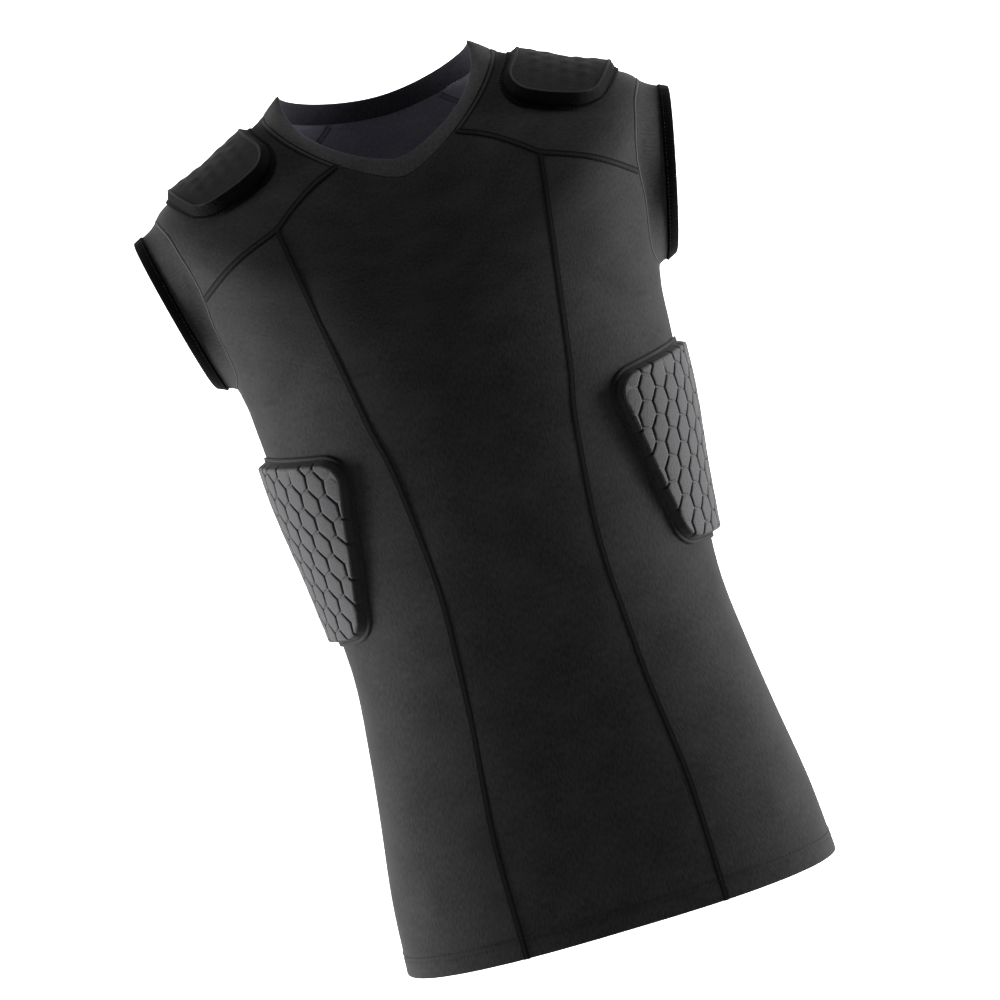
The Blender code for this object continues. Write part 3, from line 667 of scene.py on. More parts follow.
def relief(around, along):
    """How far the stretched cloth stands off the figure, in millimetres.

    Broad soft waves, finer pulls in the hollow of the chest, and the turned-up hem with its groove."""
    waves_over = WAVE_HEIGHT * np.sin(around / 19 + along / 47 + 0.8) * np.sin(along / 61 - around / 73)
    pull = PULL_HEIGHT * hump(along, PULL_ALONG, PULL_LENGTH) * np.sin(along / 7.5 + around / 15)
    pull = pull * hump(np.abs(around), PULL_ASIDE, PULL_WIDTH)
    turned = np.clip((HEM_TURN_UP - along) / 1.2 + 0.5, 0, 1)
    groove = HEM_GROOVE_DEPTH * hump(along, HEM_STITCHES, HEM_GROOVE_WIDTH)
    return waves_over + pull - TURN_UP_HEIGHT + TURN_UP_HEIGHT * turned - groove


def panel(name, places, node, flat, area, rests_on):
    """One cloth panel, its fine wall in the place of its plain solid."""
    along, angle = places[..., 0], places[..., 1]
    points, facing = on_cloth(along, angle)
    around = around_from_angle(along, angle)
    if "left" not in name:
        around = around - around[:, around.shape[1] // 2, None]
    piece = net(name, drawn_in(points, facing), np.stack([around, along], axis=-1))
    return walled(piece), (node, flat, area, rests_on)


def walled(piece):
    """Gives a net a wall 0.3 mm thinner than its solid's, with an inner side lightened as painted fill
    light, and soft cut edges.
    """
    piece.data.materials.append(FACE_KNIT)
    piece.data.materials.append(INNER_KNIT_PAINTED_FILL)
    modified(piece, "SOLIDIFY", thickness=(CLOTH - 0.3) * MM, offset=-1, material_offset=1)
    modified(piece, "BEVEL", width=0.35 * MM, segments=2, limit_method="ANGLE", angle_limit=radians(65))
    shaded(piece, 50)
    return piece


def declare_panel(piece, facts):
    node, flat, area, rests_on = facts
    finished(piece, "polyester_elastane_knit", stands_for=(node,))


def on_cloth(along, angle):
    """Points on the cloth's outside, with its outward directions."""
    facing = outward(along, angle)
    height = relief(np.abs(around_from_angle(along, angle)), along)
    return figure(along, angle) + height[..., None] * facing, facing


def ring_of(path, count):
    """A closed ring's points and outward directions, evenly spaced, the last one left out."""
    places = taken_at(path, np.linspace(0, 1, count + 1)[:-1])
    return on_cloth(places[:, 0], places[:, 1])


def cuff_ring(armhole):
    """The cuff's middle line, its points spaced as the armhole's are."""
    top = np.array([CUFF_TOP_X, CUFF_Y, CUFF_TOP_Z])
    bottom = np.array([CUFF_BOTTOM_X, CUFF_Y, CUFF_BOTTOM_Z])
    middle, rise = (top + bottom) / 2, (top - bottom) / 2
    turn = np.linspace(0, pi, 361)
    reach = (np.abs(np.cos(turn)) ** CUFF_SQUARE + np.sin(turn) ** CUFF_SQUARE) ** (-1 / CUFF_SQUARE)
    half = middle + np.outer(np.cos(turn) * reach, rise)
    half = half + np.outer(np.sin(turn) * reach, [0, -CUFF_HALF_DEPTH, 0])
    run = lengths(half)
    high, low = int(armhole[:, 2].argmax()), int(armhole[:, 2].argmin())
    count = len(armhole)
    order = [(high + k) % count for k in range(count)]
    back_arc = (low - high) % count
    ring = np.zeros_like(armhole)
    for part, downwards in ((order[: back_arc + 1], True), (order[back_arc:] + [high], False)):
        edge = armhole[part]
        share = lengths(edge) / lengths(edge)[-1]
        share = share if downwards else 1 - share
        place = np.stack([np.interp(share * run[-1], run, column) for column in half.T], axis=1)
        place[:, 1] = CUFF_Y + (place[:, 1] - CUFF_Y) * (1 if edge[:, 1].mean() < CUFF_Y else -1)
        ring[part] = place
    return ring


def sleeve_rows():
    """The cap sleeve's rows of points, the cuff's middle line and the cuff's axis."""
    path = np.concatenate([SEAM["under arm"], SEAM["over arm"][-2:0:-1], SEAM["under arm"][:1]])
    armhole, facing = ring_of(path, 128)
    cuff = cuff_ring(armhole)
    lean = np.array([CUFF_TOP_X - CUFF_BOTTOM_X, 0, CUFF_TOP_Z - CUFF_BOTTOM_Z])
    axis = unit(np.array([lean[2], 0, -lean[0]]))
    edge = cuff - axis * (CUFF_WIDTH / 2 + SEAM_GAP)
    way = unit(edge - armhole)
    start = armhole + way * SEAM_GAP / 2
    reach = np.linalg.norm(edge - start, axis=1, keepdims=True)
    # The sleeve leaves the armhole as the panels run there, and bends away only under the arm.
    onward = unit(np.cross(facing, round_ring(armhole)))
    onward = onward * np.sign((onward * way).sum(axis=1, keepdims=True))
    smoothly = np.clip((onward * way).sum(axis=1, keepdims=True), 0, 1) ** 2
    leaving = unit(smoothly * onward + (1 - smoothly) * way) * reach * 0.9
    arriving = unit(0.5 * axis + 0.5 * way) * reach * 0.9
    t = np.linspace(0, 1, 15)[:, None, None]
    rows = (2 * t**3 - 3 * t**2 + 1) * start + (t**3 - 2 * t**2 + t) * leaving
    rows = rows + (3 * t**2 - 2 * t**3) * edge + (t**3 - t**2) * arriving
    return rows, cuff, axis


def wrapped(rows):
    """Rows of closed rings, each with its first point again at its end."""
    return np.concatenate([rows, rows[:, :1]], axis=1)


def pattern_of(rows):
    """Pattern places on a net: the run along its middle row, and the run up its first column."""
    along = lengths(rows[len(rows) // 2])
    up = lengths(rows[:, 0])
    return np.stack(np.meshgrid(along, up), axis=-1)


def make_sleeves():
    rows, cuff, axis = sleeve_rows()
    closed = wrapped(rows)
    left = net("sleeve_left_cloth", closed, pattern_of(closed))
    closed_up(left)
    walled(left)
    facing = unit(np.cross(round_ring(cuff), axis))
    half, top, under, soft = CUFF_WIDTH / 2, CUFF_HEIGHT, CUFF_UNDERSIDE, CUFF_EDGE_RADIUS
    outline_points = []
    for corner_a, corner_b, start in ((-1, top, pi), (1, top, pi / 2), (1, under, 0), (-1, under, -pi / 2)):
        centre_a = corner_a * (half - soft)
        centre_b = corner_b - soft if corner_b > 0 else corner_b + soft
        for step in range(4):
            angle = start - step * pi / 6
            outline_points.append((centre_a + soft * cos(angle), centre_b + soft * sin(angle)))
    turns = np.arange(len(cuff)) * 2 * pi / len(cuff)
    ripple = CUFF_RIPPLE_HEIGHT * np.sin(turns * CUFF_RIPPLES)[:, None]
    # The free edge pulls in, most of all under the arm.
    height = (cuff[:, 2:] - cuff[:, 2].min()) / np.ptp(cuff[:, 2])
    pulled = 0.5 + 1.6 * height**6 + 6.0 * (1 - height) ** 5
    rings = np.stack([
        cuff + axis * a + facing * (b + ripple * (b > 0) - pulled * ((a + half) / CUFF_WIDTH) ** 2.2)
        for a, b in outline_points + outline_points[:1]
    ])
    tube = wrapped(rings)
    binding = net("cuff_left_elastic", tube, pattern_of(tube))
    closed_up(binding)
    shaded(binding, 60)
    for hand, side in in_pair(left):
        finished(side, "polyester_elastane_knit", stands_for=(f"sleeve_{hand}",))
    for hand, side in in_pair(binding):
        finished(side, "black_elastic_binding", CUFF_ELASTIC, stands_for=(f"cuff_binding_{hand}",))
    return cuff, axis


def make_neckband():
    """A doubled strip of knit, folded at the neck edge."""
    count = 260
    angles = taken_at(level("neck seam", -pi, pi), np.linspace(0, 1, count + 1))[:, 1]
    low, high = STATION["neck seam"] + SEAM_GAP / 2, STATION["neck edge"]
    outside = [(0.0, 0.08), (0.12, 0.0), (0.3, -0.08), (0.5, -0.1), (0.7, -0.06), (0.86, 0.02),
               (0.95, 0.16), (0.99, 0.32)]
    profile = outside + [(1.0, 0.5)] + [(a, 1 - max(b, 0)) for a, b in reversed(outside)] + outside[:1]
    rows = []
    for share, depth in profile:
        along = np.full(count + 1, low + (high - low) * share)
        rows.append(figure(along, angles) - outward(along, angles) * BAND_CLOTH * depth)
    rows = np.array(rows)
    piece = net("neckband_cloth", rows, pattern_of(rows))
    closed_up(piece)
    shaded(piece, 60)
    finished(piece, "neckband_rib_knit", BAND_KNIT, BAND_INSIDE, stands_for=("neckband",))
    # Faces that look towards the neck are the band's inner side.
    for face in piece.data.polygons:
        face.material_index = int(np.array(face.normal[:2]) @ np.array(face.center[:2]) < 0)


def make_panels():
    edge = np.concatenate([SEAM["princess"], SEAM["yoke to neck"][1:]])
    hem_front = level("hem", -edge[0, 1], edge[0, 1])
    front = patch(hem_front, SEAM["front neck"], to_right(edge), edge, even(150), from_hem(610))
    back = np.stack([front[..., 0], pi + front[..., 1]], axis=-1)
    princess, to_arm = SEAM["princess"], SEAM["yoke to armhole"]
    top = np.concatenate([to_arm, SEAM["under arm"][1:], to_back(to_arm)[-2::-1]])
    hem_side = level("hem", princess[0, 1], pi - princess[0, 1])
    side = patch(hem_side, top, princess, to_back(princess), even(310), from_hem(590))
    yoke_front = np.concatenate([SEAM["yoke to neck"][::-1], to_arm[1:]])
    yoke = patch(yoke_front, to_back(yoke_front), SEAM["yoke neck"], SEAM["over arm"], even(130), even(190))
    made = {
        "front_centre_cloth": panel(
            "front_centre_cloth", front, "front_centre_panel", (0.2, 0.62), 0.094, ["side_left_cloth"]),
        "back_cloth": panel(
            "back_cloth", back, "back_panel", (0.2, 0.64), 0.104, ["side_left_cloth"]),
        "side_left_cloth": panel(
            "side_left_cloth", side, "side_panel_left", (0.33, 0.6), 0.155, ["back_cloth"]),
        "yoke_left_cloth": panel(
            "yoke_left_cloth", yoke, "yoke_left", (0.24, 0.15), 0.027, ["back_cloth"]),
    }
    for name in ("side_left_cloth", "yoke_left_cloth"):
        piece, (node, flat, area, rests_on) = made[name]
        copy = mirrored(piece, name.replace("left", "right"))
        made[copy.name] = copy, (node.replace("left", "right"), flat, area, rests_on)
    for piece, facts in made.values():
        declare_panel(piece, facts)


# Seams and stitches


def strip(name, centres, normals, profile, finish, closed=False):
    """A raised sewn band along a line. The profile is (across, height) pairs."""
    if closed:
        centres, normals = closed_line(centres), closed_line(normals)
    forward = unit(np.gradient(centres, axis=0))
    if closed:
        forward[0] = forward[-1] = unit(centres[1] - centres[-2])
    across = unit(np.cross(normals, forward))
    run = lengths(centres)
    rows, places = [], []
    first, last = profile[0][0], profile[-1][0]
    for offset, height in profile:
        loops = 0.05 * np.sin(run * 2 * pi / LOOP_PITCH + offset * 1.4) * (abs(offset) < abs(first))
        rows.append(centres + across * offset + normals * (height + loops)[:, None])
        share = (offset - first) / (last - first)
        places.append(np.stack([run, np.full(len(run), share * SEAM_MAP)], axis=1))
    piece = net(name, np.array(rows)[::-1], np.array(places)[::-1])
    if closed:
        closed_up(piece)
    modified(piece, "SOLIDIFY", thickness=0.15 * MM, offset=-1)
    shaded(piece, 60)
    return finished(piece, "polyester_elastane_knit", finish)


# A flat seam's section: two needle lines and the cover threads between them.
FLATLOCK = [(-1.0, 0.03), (-0.93, 0.12), (-0.77, 0.15), (-0.6, 0.09), (-0.43, 0.16), (0.0, 0.18),
            (0.43, 0.16), (0.6, 0.09), (0.77, 0.15), (0.93, 0.12), (1.0, 0.03)]
INNER_TAPE = [(-1.0, -1.32), (-0.8, -1.42), (0.8, -1.42), (1.0, -1.32)]
SEAM_MAP = 6.0
LOOP_PITCH = 2.4


def section(profile, half_width):
    """A seam's section at its real half width, in millimetres."""
    return [(offset * half_width, height) for offset, height in profile]


def along_cloth(path, step=SEAM_STEP, start=0.0, end=1.0):
    """A seam path's points and outward directions, a step apart."""
    run = lengths(figure(path[:, 0], path[:, 1]))[-1] * (end - start)
    places = taken_at(path, np.linspace(start, end, max(2, int(run / step)) + 1))
    return on_cloth(places[:, 0], places[:, 1])


def both_hands(piece, slot="polyester_elastane_knit"):
    """The wearer's right copy of a finished left piece."""
    return finished(mirrored(piece, piece.name.replace("left", "right")), slot)


def sewn(name, centres, normals, finish, pitch=3.0, length=2.2, thick=0.55, offsets=(0,), lift=0.15,
         slot="polyester_elastane_knit"):
    """Rows of stitches along a line: one small rounded stitch, modelled once and copied."""
    deselect()
    bpy.ops.mesh.primitive_uv_sphere_add(segments=6, ring_count=5, radius=0.5)
    one = bpy.context.object
    bpy.ops.object.mode_set(mode="EDIT")
    select_whole()
    bpy.ops.transform.rotate(value=pi / 2, orient_axis="Y", center_override=(0, 0, 0))
    bpy.ops.transform.resize(value=(length, thick, thick))
    leave()
    shape = points_of(one)
    faces = [list(face.vertices) for face in one.data.polygons]
    bpy.data.objects.remove(one)
    run = lengths(centres)
    forward = unit(np.gradient(centres, axis=0))
    points, polygons = [], []
    for place in np.arange(pitch / 2, run[-1] - pitch / 4, pitch):
        here, up, ahead = (
            np.array([np.interp(place, run, column) for column in data.T])
            for data in (centres, normals, forward)
        )
        side = unit(np.cross(up, ahead))
        ahead = unit(np.cross(side, up))
        for offset in offsets:
            base = here + side * offset + up * lift
            start = len(points) * len(shape)
            points.append(base + shape[:, :1] * ahead + shape[:, 1:2] * side + shape[:, 2:] * up)
            polygons += [[k + start for k in face] for face in faces]
    mesh = bpy.data.meshes.new(name)
    mesh.from_pydata((np.concatenate(points) * MM).tolist(), [], polygons)
    mesh.shade_smooth()
    piece = bpy.data.objects.new(name, mesh)
    bpy.context.collection.objects.link(piece)
    return finished(piece, slot, finish)


def make_seams(cuff, axis):
    princess = SEAM["princess"]
    yoke = np.concatenate([SEAM["yoke to neck"][::-1], SEAM["yoke to armhole"][1:]])
    for kind, path, half_width, finish, start, end in (
        ("princess", princess, 2.2, DARK_SEAM, 0.0, 1.0),
        ("yoke", yoke, 2.5, YOKE_SEAM, 0.012, 0.985),
    ):
        for name, way in (("front", path), ("back", to_back(path))):
            line = along_cloth(way, SEAM_STEP, start, end)
            both_hands(strip(f"{kind}_seam_{name}_left", *line, section(FLATLOCK, half_width), finish))
            line = along_cloth(way, TAPE_STEP, start, end)
            both_hands(strip(f"{kind}_tape_{name}_left", *line, section(INNER_TAPE, 2.6), INNER_TAPE_KNIT))
    ring = np.concatenate([SEAM["under arm"], SEAM["over arm"][-2:0:-1], SEAM["under arm"][:1]])
    line = ring_of(ring, 400)
    both_hands(strip("armhole_seam_left", *line, section(FLATLOCK, 1.5), LIGHT_SEAM, closed=True))
    both_hands(strip("armhole_tape_left", *line, section(INNER_TAPE, 2.6), INNER_TAPE_KNIT, closed=True))
    junction = SEAM["front neck"][-1, 1]
    around_neck = level("neck seam", junction + 0.02, 2 * pi - junction - 0.02)
    around_neck[:, 0] -= 3.0
    strip("neck_seam", *along_cloth(around_neck), section(FLATLOCK, 2.2), LIGHT_SEAM)
    hem = level("hem", 0, 2 * pi)
    hem[:, 0] += HEM_STITCHES
    centres, facing = ring_of(hem, 900)
    sewn("hem_coverstitch", closed_line(centres), closed_line(facing), BLACK_THREAD, offsets=(-2.2, 2.2),
         lift=0.3)
    out = unit(np.cross(round_ring(cuff), axis))
    edge = cuff + out * CUFF_HEIGHT - axis * (CUFF_WIDTH / 2 - CUFF_STITCH_INSET)
    stitches = sewn("cuff_stitches_left", closed_line(edge), closed_line(out), BLACK_THREAD, thick=0.5,
                    lift=-0.1, slot="black_elastic_binding")
    both_hands(stitches, "black_elastic_binding")


# Pads

Corner = namedtuple("Corner", "around along radius")
RIB_PAD_CORNERS = [Corner(0, 420, 260), Corner(129, 397.5, 21), Corner(77, 257.5, 24)]
SHOULDER_PAD_CORNERS = [Corner(86, 723, 30), Corner(86, 637.5, 20)]
RIB_FACE_INSET = 7.8
SHOULDER_FACE_INSET = 7.6
SHOULDER_CROWN = 6.9
SHOULDER_END_RISE = 5.8
MOUND_HEIGHT = 0.65
MOUND_WAVE = 12.1
CELL_EDGES = np.array([[-8.0, -2.1], [-2.4, -10.2], [5.4, -9.5]])
CELL_CORNER = np.array([86.8, 381.0])
# The cells repeat by these two steps, and each has these corners, from its own first corner.
CELL_ACROSS = CELL_EDGES[0] + CELL_EDGES[1]
CELL_DOWN = CELL_EDGES[1] + CELL_EDGES[2]
CELL_OUTLINE = np.array([
    [0, 0], CELL_EDGES[0], CELL_ACROSS, CELL_ACROSS + CELL_EDGES[2], CELL_DOWN, CELL_EDGES[2]])
CELL_MIDDLE = CELL_OUTLINE.mean(axis=0)
# A cell that reaches less than this inside the pad's outline is filled level with its neighbours.
SLIVER = 2.2
PAD_UNDERSIDE = 0.4
FLANGE_TOP = 1.35
RIB_STITCH_INSET = 1.9
SHOULDER_STITCH_INSET = 1.7
# How far out from the rib pad's face its wall, its flange and the flange's rim begin
WALL_FROM, FLANGE_FROM, RIM_FROM = 1.6, 4.7, 7.2
# How far out from the shoulder pad's face its pressed edge and its spacer mesh begin
PRESSED_FROM, SPACER_FROM = -1.5, 0.5
GROOVE_FLOOR = 7.0
CELL_TOP = 8.33
# (inset, rise) steps from a groove's floor up to a cell's top
CELL_STEPS = [(0.5, 0.0), (0.22, 0.6), (0.35, 0.4), (0.7, 0.22), (1.1, 0.08)]
# (out, height) steps from the rib pad's face down its wall, over the sewn flange and back underneath
WALL_STEPS = [
    (0.5, -0.12), (1.0, -0.45), (1.5, -1.0), (2.0, -1.9), (2.5, -3.1), (3.6, 2.2), (4.3, 1.2), (4.8, 0.9),
    (5.3, FLANGE_TOP), (6.9, FLANGE_TOP), (7.5, 1.1), (7.7, 0.8), (7.6, PAD_UNDERSIDE),
    (4.0, PAD_UNDERSIDE), (0, PAD_UNDERSIDE),
]
# (inset, height) steps of the shoulder pad's flange, and (inset, drop) steps over its edge from its crown
FLANGE_STEPS = [(3.6, PAD_UNDERSIDE), (0.3, PAD_UNDERSIDE), (0.0, 0.9), (0.5, FLANGE_TOP), (2.8, 1.5),
                (3.5, 1.9)]
EDGE_STEPS = [(5.6, 2.6), (6.5, 1.1), (6.9, 0.5), (7.2, 0.15), (7.7, 0.0), (8.6, 0.0), (9.0, 0.15),
              (9.3, 0.45), (9.8, 0.6), (11.0, 0.6)]


def outline(corners, inset, corner_steps=10):
    """A pad's outline, anticlockwise, moved in by the inset, with arcs at its corners."""
    mirror = [Corner(-c.around, c.along, c.radius) for c in reversed(corners) if c.around > 0]
    whole = list(corners) + mirror
    points = np.array([(c.around, c.along) for c in whole], float)
    radii = np.array([c.radius for c in whole]) - inset
    forward = unit(np.roll(points, -1, axis=0) - points)
    normals = np.stack([forward[:, 1], -forward[:, 0]], axis=1)
    normals *= np.sign(((points.mean(axis=0) - points) * normals).sum(axis=1))[:, None]
    path = []
    for k in range(len(points)):
        before, after = normals[k - 1], normals[k]
        bend = (before + after) / (1 + before @ after)
        centre = points[k] + (inset + radii[k]) * bend
        start, finish = np.arctan2(*-before[::-1]), np.arctan2(*-after[::-1])
        turn = (finish - start + pi) % (2 * pi) - pi
        for share in np.linspace(0, 1, corner_steps + 1):
            angle = start + turn * share
            path.append(centre + radii[k] * np.array([cos(angle), sin(angle)]))
    return np.array(path[::-1])


def nearest_on(border, places):
    """Each place's nearest point on the border, the outward direction there and the distance out."""
    after = np.roll(border, -1, axis=0)
    along = after - border
    normals = unit(np.stack([along[:, 1], -along[:, 0]], axis=1))
    soft = unit(np.roll(normals, 1, axis=0) + normals)
    share = ((places[:, None] - border) * along).sum(axis=2) / (along**2).sum(axis=1)
    share = np.clip(share, 0, 1)[..., None]
    foot = border + share * along
    best = np.linalg.norm(places[:, None] - foot, axis=2).argmin(axis=1)
    pick = np.arange(len(places))
    share = share[pick, best]
    facing = unit((1 - share) * soft[best] + share * np.roll(soft, -1, axis=0)[best])
    return foot[pick, best], facing, ((places - foot[pick, best]) * facing).sum(axis=1)


def trim_to(border):
    """Cuts the edited sheet down to a convex outline."""
    for a, b in zip(border, np.roll(border, -1, axis=0)):
        if np.linalg.norm(b - a) < 0.05:
            continue
        run = (b - a) / np.linalg.norm(b - a)
        select_whole()
        bpy.ops.mesh.bisect(
            plane_co=(a[0] * MM, a[1] * MM, 0), plane_no=(run[1], -run[0], 0),
            clear_outer=True, threshold=1e-7,
        )


def honeycomb():
    """A flat sheet of the pads' long hexagon cells, one cell drawn and the rest arrayed from it."""
    deselect()
    bpy.ops.mesh.primitive_circle_add(vertices=6, radius=0.01, fill_type="NGON")
    sheet = named("honeycomb")
    turn = np.arctan2(*points_of(sheet)[:, :2].T[::-1])
    order = np.argsort(turn % (2 * pi))
    flat = np.zeros((6, 3))
    spin = np.argsort(np.arctan2(*(CELL_OUTLINE - CELL_MIDDLE).T[::-1]) % (2 * pi))
    flat[order, :2] = (CELL_OUTLINE[spin] + CELL_CORNER - 6 * CELL_ACROSS - 16 * CELL_DOWN) * MM
    move_points(sheet, flat)
    for step in (CELL_ACROSS, CELL_DOWN):
        modified(sheet, "ARRAY", count=29, use_relative_offset=False, use_constant_offset=True,
                 constant_offset_displace=(step[0] * MM, step[1] * MM, 0))
    closed_up(sheet)
    return sheet


def short_grooves(places):
    """How far each place lies along a short groove between two cells of one column, 0 to 1."""
    lattice = np.array([CELL_ACROSS, CELL_DOWN])
    apart = places - CELL_CORNER
    turns = apart @ np.linalg.inv(lattice)
    nearest = np.full((3, len(places)), np.inf)
    position = np.zeros(len(places))
    for i in range(-2, 2):
        for j in range(-2, 3):
            corner = (np.floor(turns) + [i, j]) @ lattice
            for kind, (begin, edge) in enumerate(zip(CELL_OUTLINE, CELL_EDGES)):
                gap = apart - corner - begin
                share = np.clip(gap @ edge / (edge @ edge), 0, 1)
                distance = np.linalg.norm(gap - share[:, None] * edge, axis=1)
                closer = distance < nearest[kind]
                nearest[kind] = np.where(closer, distance, nearest[kind])
                if kind == 0:
                    position = np.where(closer, share, position)
    beside = np.clip((nearest[1:].min(axis=0) - nearest[0]) / 1.2, 0, 1)
    return beside * np.clip(np.minimum(position, 1 - position) * 6, 0, 1)


def sliver_cells(places, border):
    """Whether each place is in, or beside, a cell that the pad's outline leaves only a sliver of."""
    steps = np.arange(-16, 23)[:, None]
    rows = (steps * CELL_ACROSS)[:, None] + (steps * CELL_DOWN)[None]
    centres = CELL_CORNER + CELL_MIDDLE + rows.reshape(-1, 2)
    _, facing, out = nearest_on(border, centres)
    left = ((CELL_MIDDLE - CELL_OUTLINE) @ facing.T).max(axis=0) - out
    inside = np.zeros(len(places), bool)
    for centre in centres[(left > 0) & (left < SLIVER)]:
        shape = centre + (CELL_OUTLINE - CELL_MIDDLE) * 1.12
        edge = np.roll(shape, -1, axis=0) - shape
        gap = places[:, None] - shape
        turn = edge[:, 0] * gap[..., 1] - edge[:, 1] * gap[..., 0]
        inside |= (turn.min(axis=1) >= 0) | (turn.max(axis=1) <= 0)
    return inside


def fill_grooves(piece, border):
    """Fills the short grooves almost to the top, and those beside slivers, in the edited sheet."""
    shape = bmesh.from_edit_mesh(piece.data)
    flat = np.array([vert.co for vert in shape.verts]) / MM
    share = np.maximum(0.8 * short_grooves(flat[:, :2]), 0.95 * sliver_cells(flat[:, :2], border))
    rise = share * np.clip(CELL_TOP - flat[:, 2], 0, None)
    for vert, lift in zip(shape.verts, rise):
        vert.co.z += lift * MM
    bmesh.update_edit_mesh(piece.data)


def raise_cells(steps):
    """Insets every selected face by itself and lifts it, step by step."""
    for inset, rise in steps:
        bpy.ops.mesh.inset(thickness=inset * MM, depth=0, use_individual=True)
        bpy.ops.transform.translate(value=(0, 0, rise * MM))


def box_round(border, margin):
    low, high = border.min(axis=0) - margin, border.max(axis=0) + margin
    return np.array([[low[0], low[1]], [high[0], low[1]], [high[0], high[1]], [low[0], high[1]]])


def edge_loop_moves(piece, border, steps):
    """Carries the sheet's raised boundary out and down, by (out, height) steps, and closes it below.

    A negative height is measured down from each point's own height."""
    bpy.ops.mesh.select_mode(type="VERT")
    bpy.ops.mesh.select_all(action="DESELECT")
    bpy.ops.mesh.select_non_manifold(
        extend=False, use_wire=False, use_boundary=True, use_multi_face=False,
        use_non_contiguous=False, use_verts=False)
    shape = bmesh.from_edit_mesh(piece.data)
    base = shape.verts.layers.float_vector.new("base")
    away = shape.verts.layers.float_vector.new("away")
    for vert in shape.verts:
        if vert.select and vert.co.z < 2 * MM:
            vert.select = False
    chosen = [vert for vert in shape.verts if vert.select]
    places = np.array([vert.co[:2] for vert in chosen]) / MM
    _, facing, _ = nearest_on(border, places)
    for vert, out in zip(chosen, facing):
        vert[base] = vert.co
        vert[away] = (out[0], out[1], 0)
    shape.select_flush(False)
    bpy.ops.mesh.select_mode(type="EDGE")
    shape = bmesh.from_edit_mesh(piece.data)
    for edge in shape.edges:
        edge.select = all(v.select for v in edge.verts) and edge.is_boundary
    bmesh.update_edit_mesh(piece.data)
    for out, height in steps:
        bpy.ops.mesh.extrude_region_move(TRANSFORM_OT_translate={"value": (0, 0, 0)})
        shape = bmesh.from_edit_mesh(piece.data)
        base = shape.verts.layers.float_vector["base"]
        away = shape.verts.layers.float_vector["away"]
        for vert in shape.verts:
            if vert.select:
                start, way = vert[base], vert[away]
                level_z = height * MM if height >= 0 else start.z + height * MM
                vert.co = Vector((start.x + way.x * out * MM, start.y + way.y * out * MM, level_z))
        bmesh.update_edit_mesh(piece.data)
    select_whole()
    bpy.ops.mesh.remove_doubles(threshold=0.02 * MM)
    bpy.ops.mesh.normals_make_consistent(inside=False)


def underside_copy():
    """A copy of the edited sheet, flattened to lie on the cloth, facing down."""
    select_whole()
    bpy.ops.mesh.duplicate()
    shape = bmesh.from_edit_mesh(bpy.context.object.data)
    for vert in shape.verts:
        if vert.select:
            vert.co.z = PAD_UNDERSIDE * MM
    bmesh.update_edit_mesh(bpy.context.object.data)
    bpy.ops.mesh.flip_normals()


def lay_on_figure(piece):
    """Bends a piece from the pattern plane on to the figure."""
    flat = points_of(piece) / MM
    angle = angle_from_around(flat[:, 0], flat[:, 1])
    move_points(piece, (figure(flat[:, 1], angle) + flat[:, 2:] * outward(flat[:, 1], angle)) * MM)


def face_places(piece):
    """Every face's middle, in millimetres, before the piece is laid on the figure."""
    return np.array([face.center for face in piece.data.polygons]) / MM


def paint(piece, slots):
    piece.data.polygons.foreach_set("material_index", np.ascontiguousarray(slots, int))
    piece.data.update()


def pad_line(corners, inset):
    """A pad flange's points and outward directions on the figure, for its stitches."""
    path = closed_line(outline(corners, inset, 24))
    run = lengths(path)
    even_run = np.linspace(0, run[-1], int(run[-1] / 1.2))
    around, along = (np.interp(even_run, run, column) for column in path.T)
    angle = angle_from_around(around, along)
    facing = outward(along, angle)
    return figure(along, angle) + FLANGE_TOP * facing, facing


def make_rib_pads():
    """Moulded foam under grey knit: hexagon cells, a pressed wall and a sewn flange, with painted shade in
    the long grooves, on the wall and at the flange's rim.
    """
    border = outline(RIB_PAD_CORNERS, RIB_FACE_INSET)
    piece = honeycomb()
    piece.name = piece.data.name = "rib_pad_left_foam"
    edit(piece)
    trim_to(box_round(border, 12))
    select_whole()
    bpy.ops.transform.translate(value=(0, 0, GROOVE_FLOOR * MM))
    raise_cells(CELL_STEPS)
    bpy.ops.mesh.poke(offset=0.03 * MM)
    trim_to(border)
    fill_grooves(piece, border)
    underside_copy()
    edge_loop_moves(piece, border, WALL_STEPS)
    leave()
    middle = face_places(piece)
    _, _, out = nearest_on(border, middle[:, :2])
    # The long grooves are painted dark as painted shade. The short grooves, which the side light reaches,
    # keep the cells' colour.
    painted_shade_grooves = (middle[:, 2] < GROOVE_FLOOR + 0.25) & (short_grooves(middle[:, :2]) < 0.5)
    painted_shade_grooves &= ~sliver_cells(middle[:, :2], border)
    cells, grooves, wall, flange = range(4)
    slots = np.where(painted_shade_grooves, grooves, cells)
    slots = np.where(out > WALL_FROM, wall, slots)
    slots = np.where(out > FLANGE_FROM, flange, slots)
    # The flange's outer rim gets the grooves' dark colour: a painted shade line at the pad's edge.
    slots = np.where(out > RIM_FROM, grooves, slots)
    slots = np.where(middle[:, 2] < PAD_UNDERSIDE + 0.1, grooves, slots)
    for finish in (CELL_FOAM, GROOVE_PAINTED_SHADE_FOAM, WALL_PAINTED_SHADE_FOAM, FLANGE_KNIT):
        piece.data.materials.append(finish)
    paint(piece, slots)
    edit(piece)
    select_whole()
    bpy.ops.mesh.subdivide(number_cuts=1)
    leave()
    lay_on_figure(piece)
    shaded(piece, 55)
    for hand, side in in_pair(piece):
        finished(side, "moulded_foam_pad", stands_for=(f"rib_pad_{hand}",))
    line = pad_line(RIB_PAD_CORNERS, RIB_STITCH_INSET)
    stitches = sewn("rib_pad_stitches_left", *line, BLACK_THREAD, offsets=(-0.9, 0.9), thick=0.5,
                    slot="moulded_foam_pad")
    both_hands(stitches, "moulded_foam_pad")


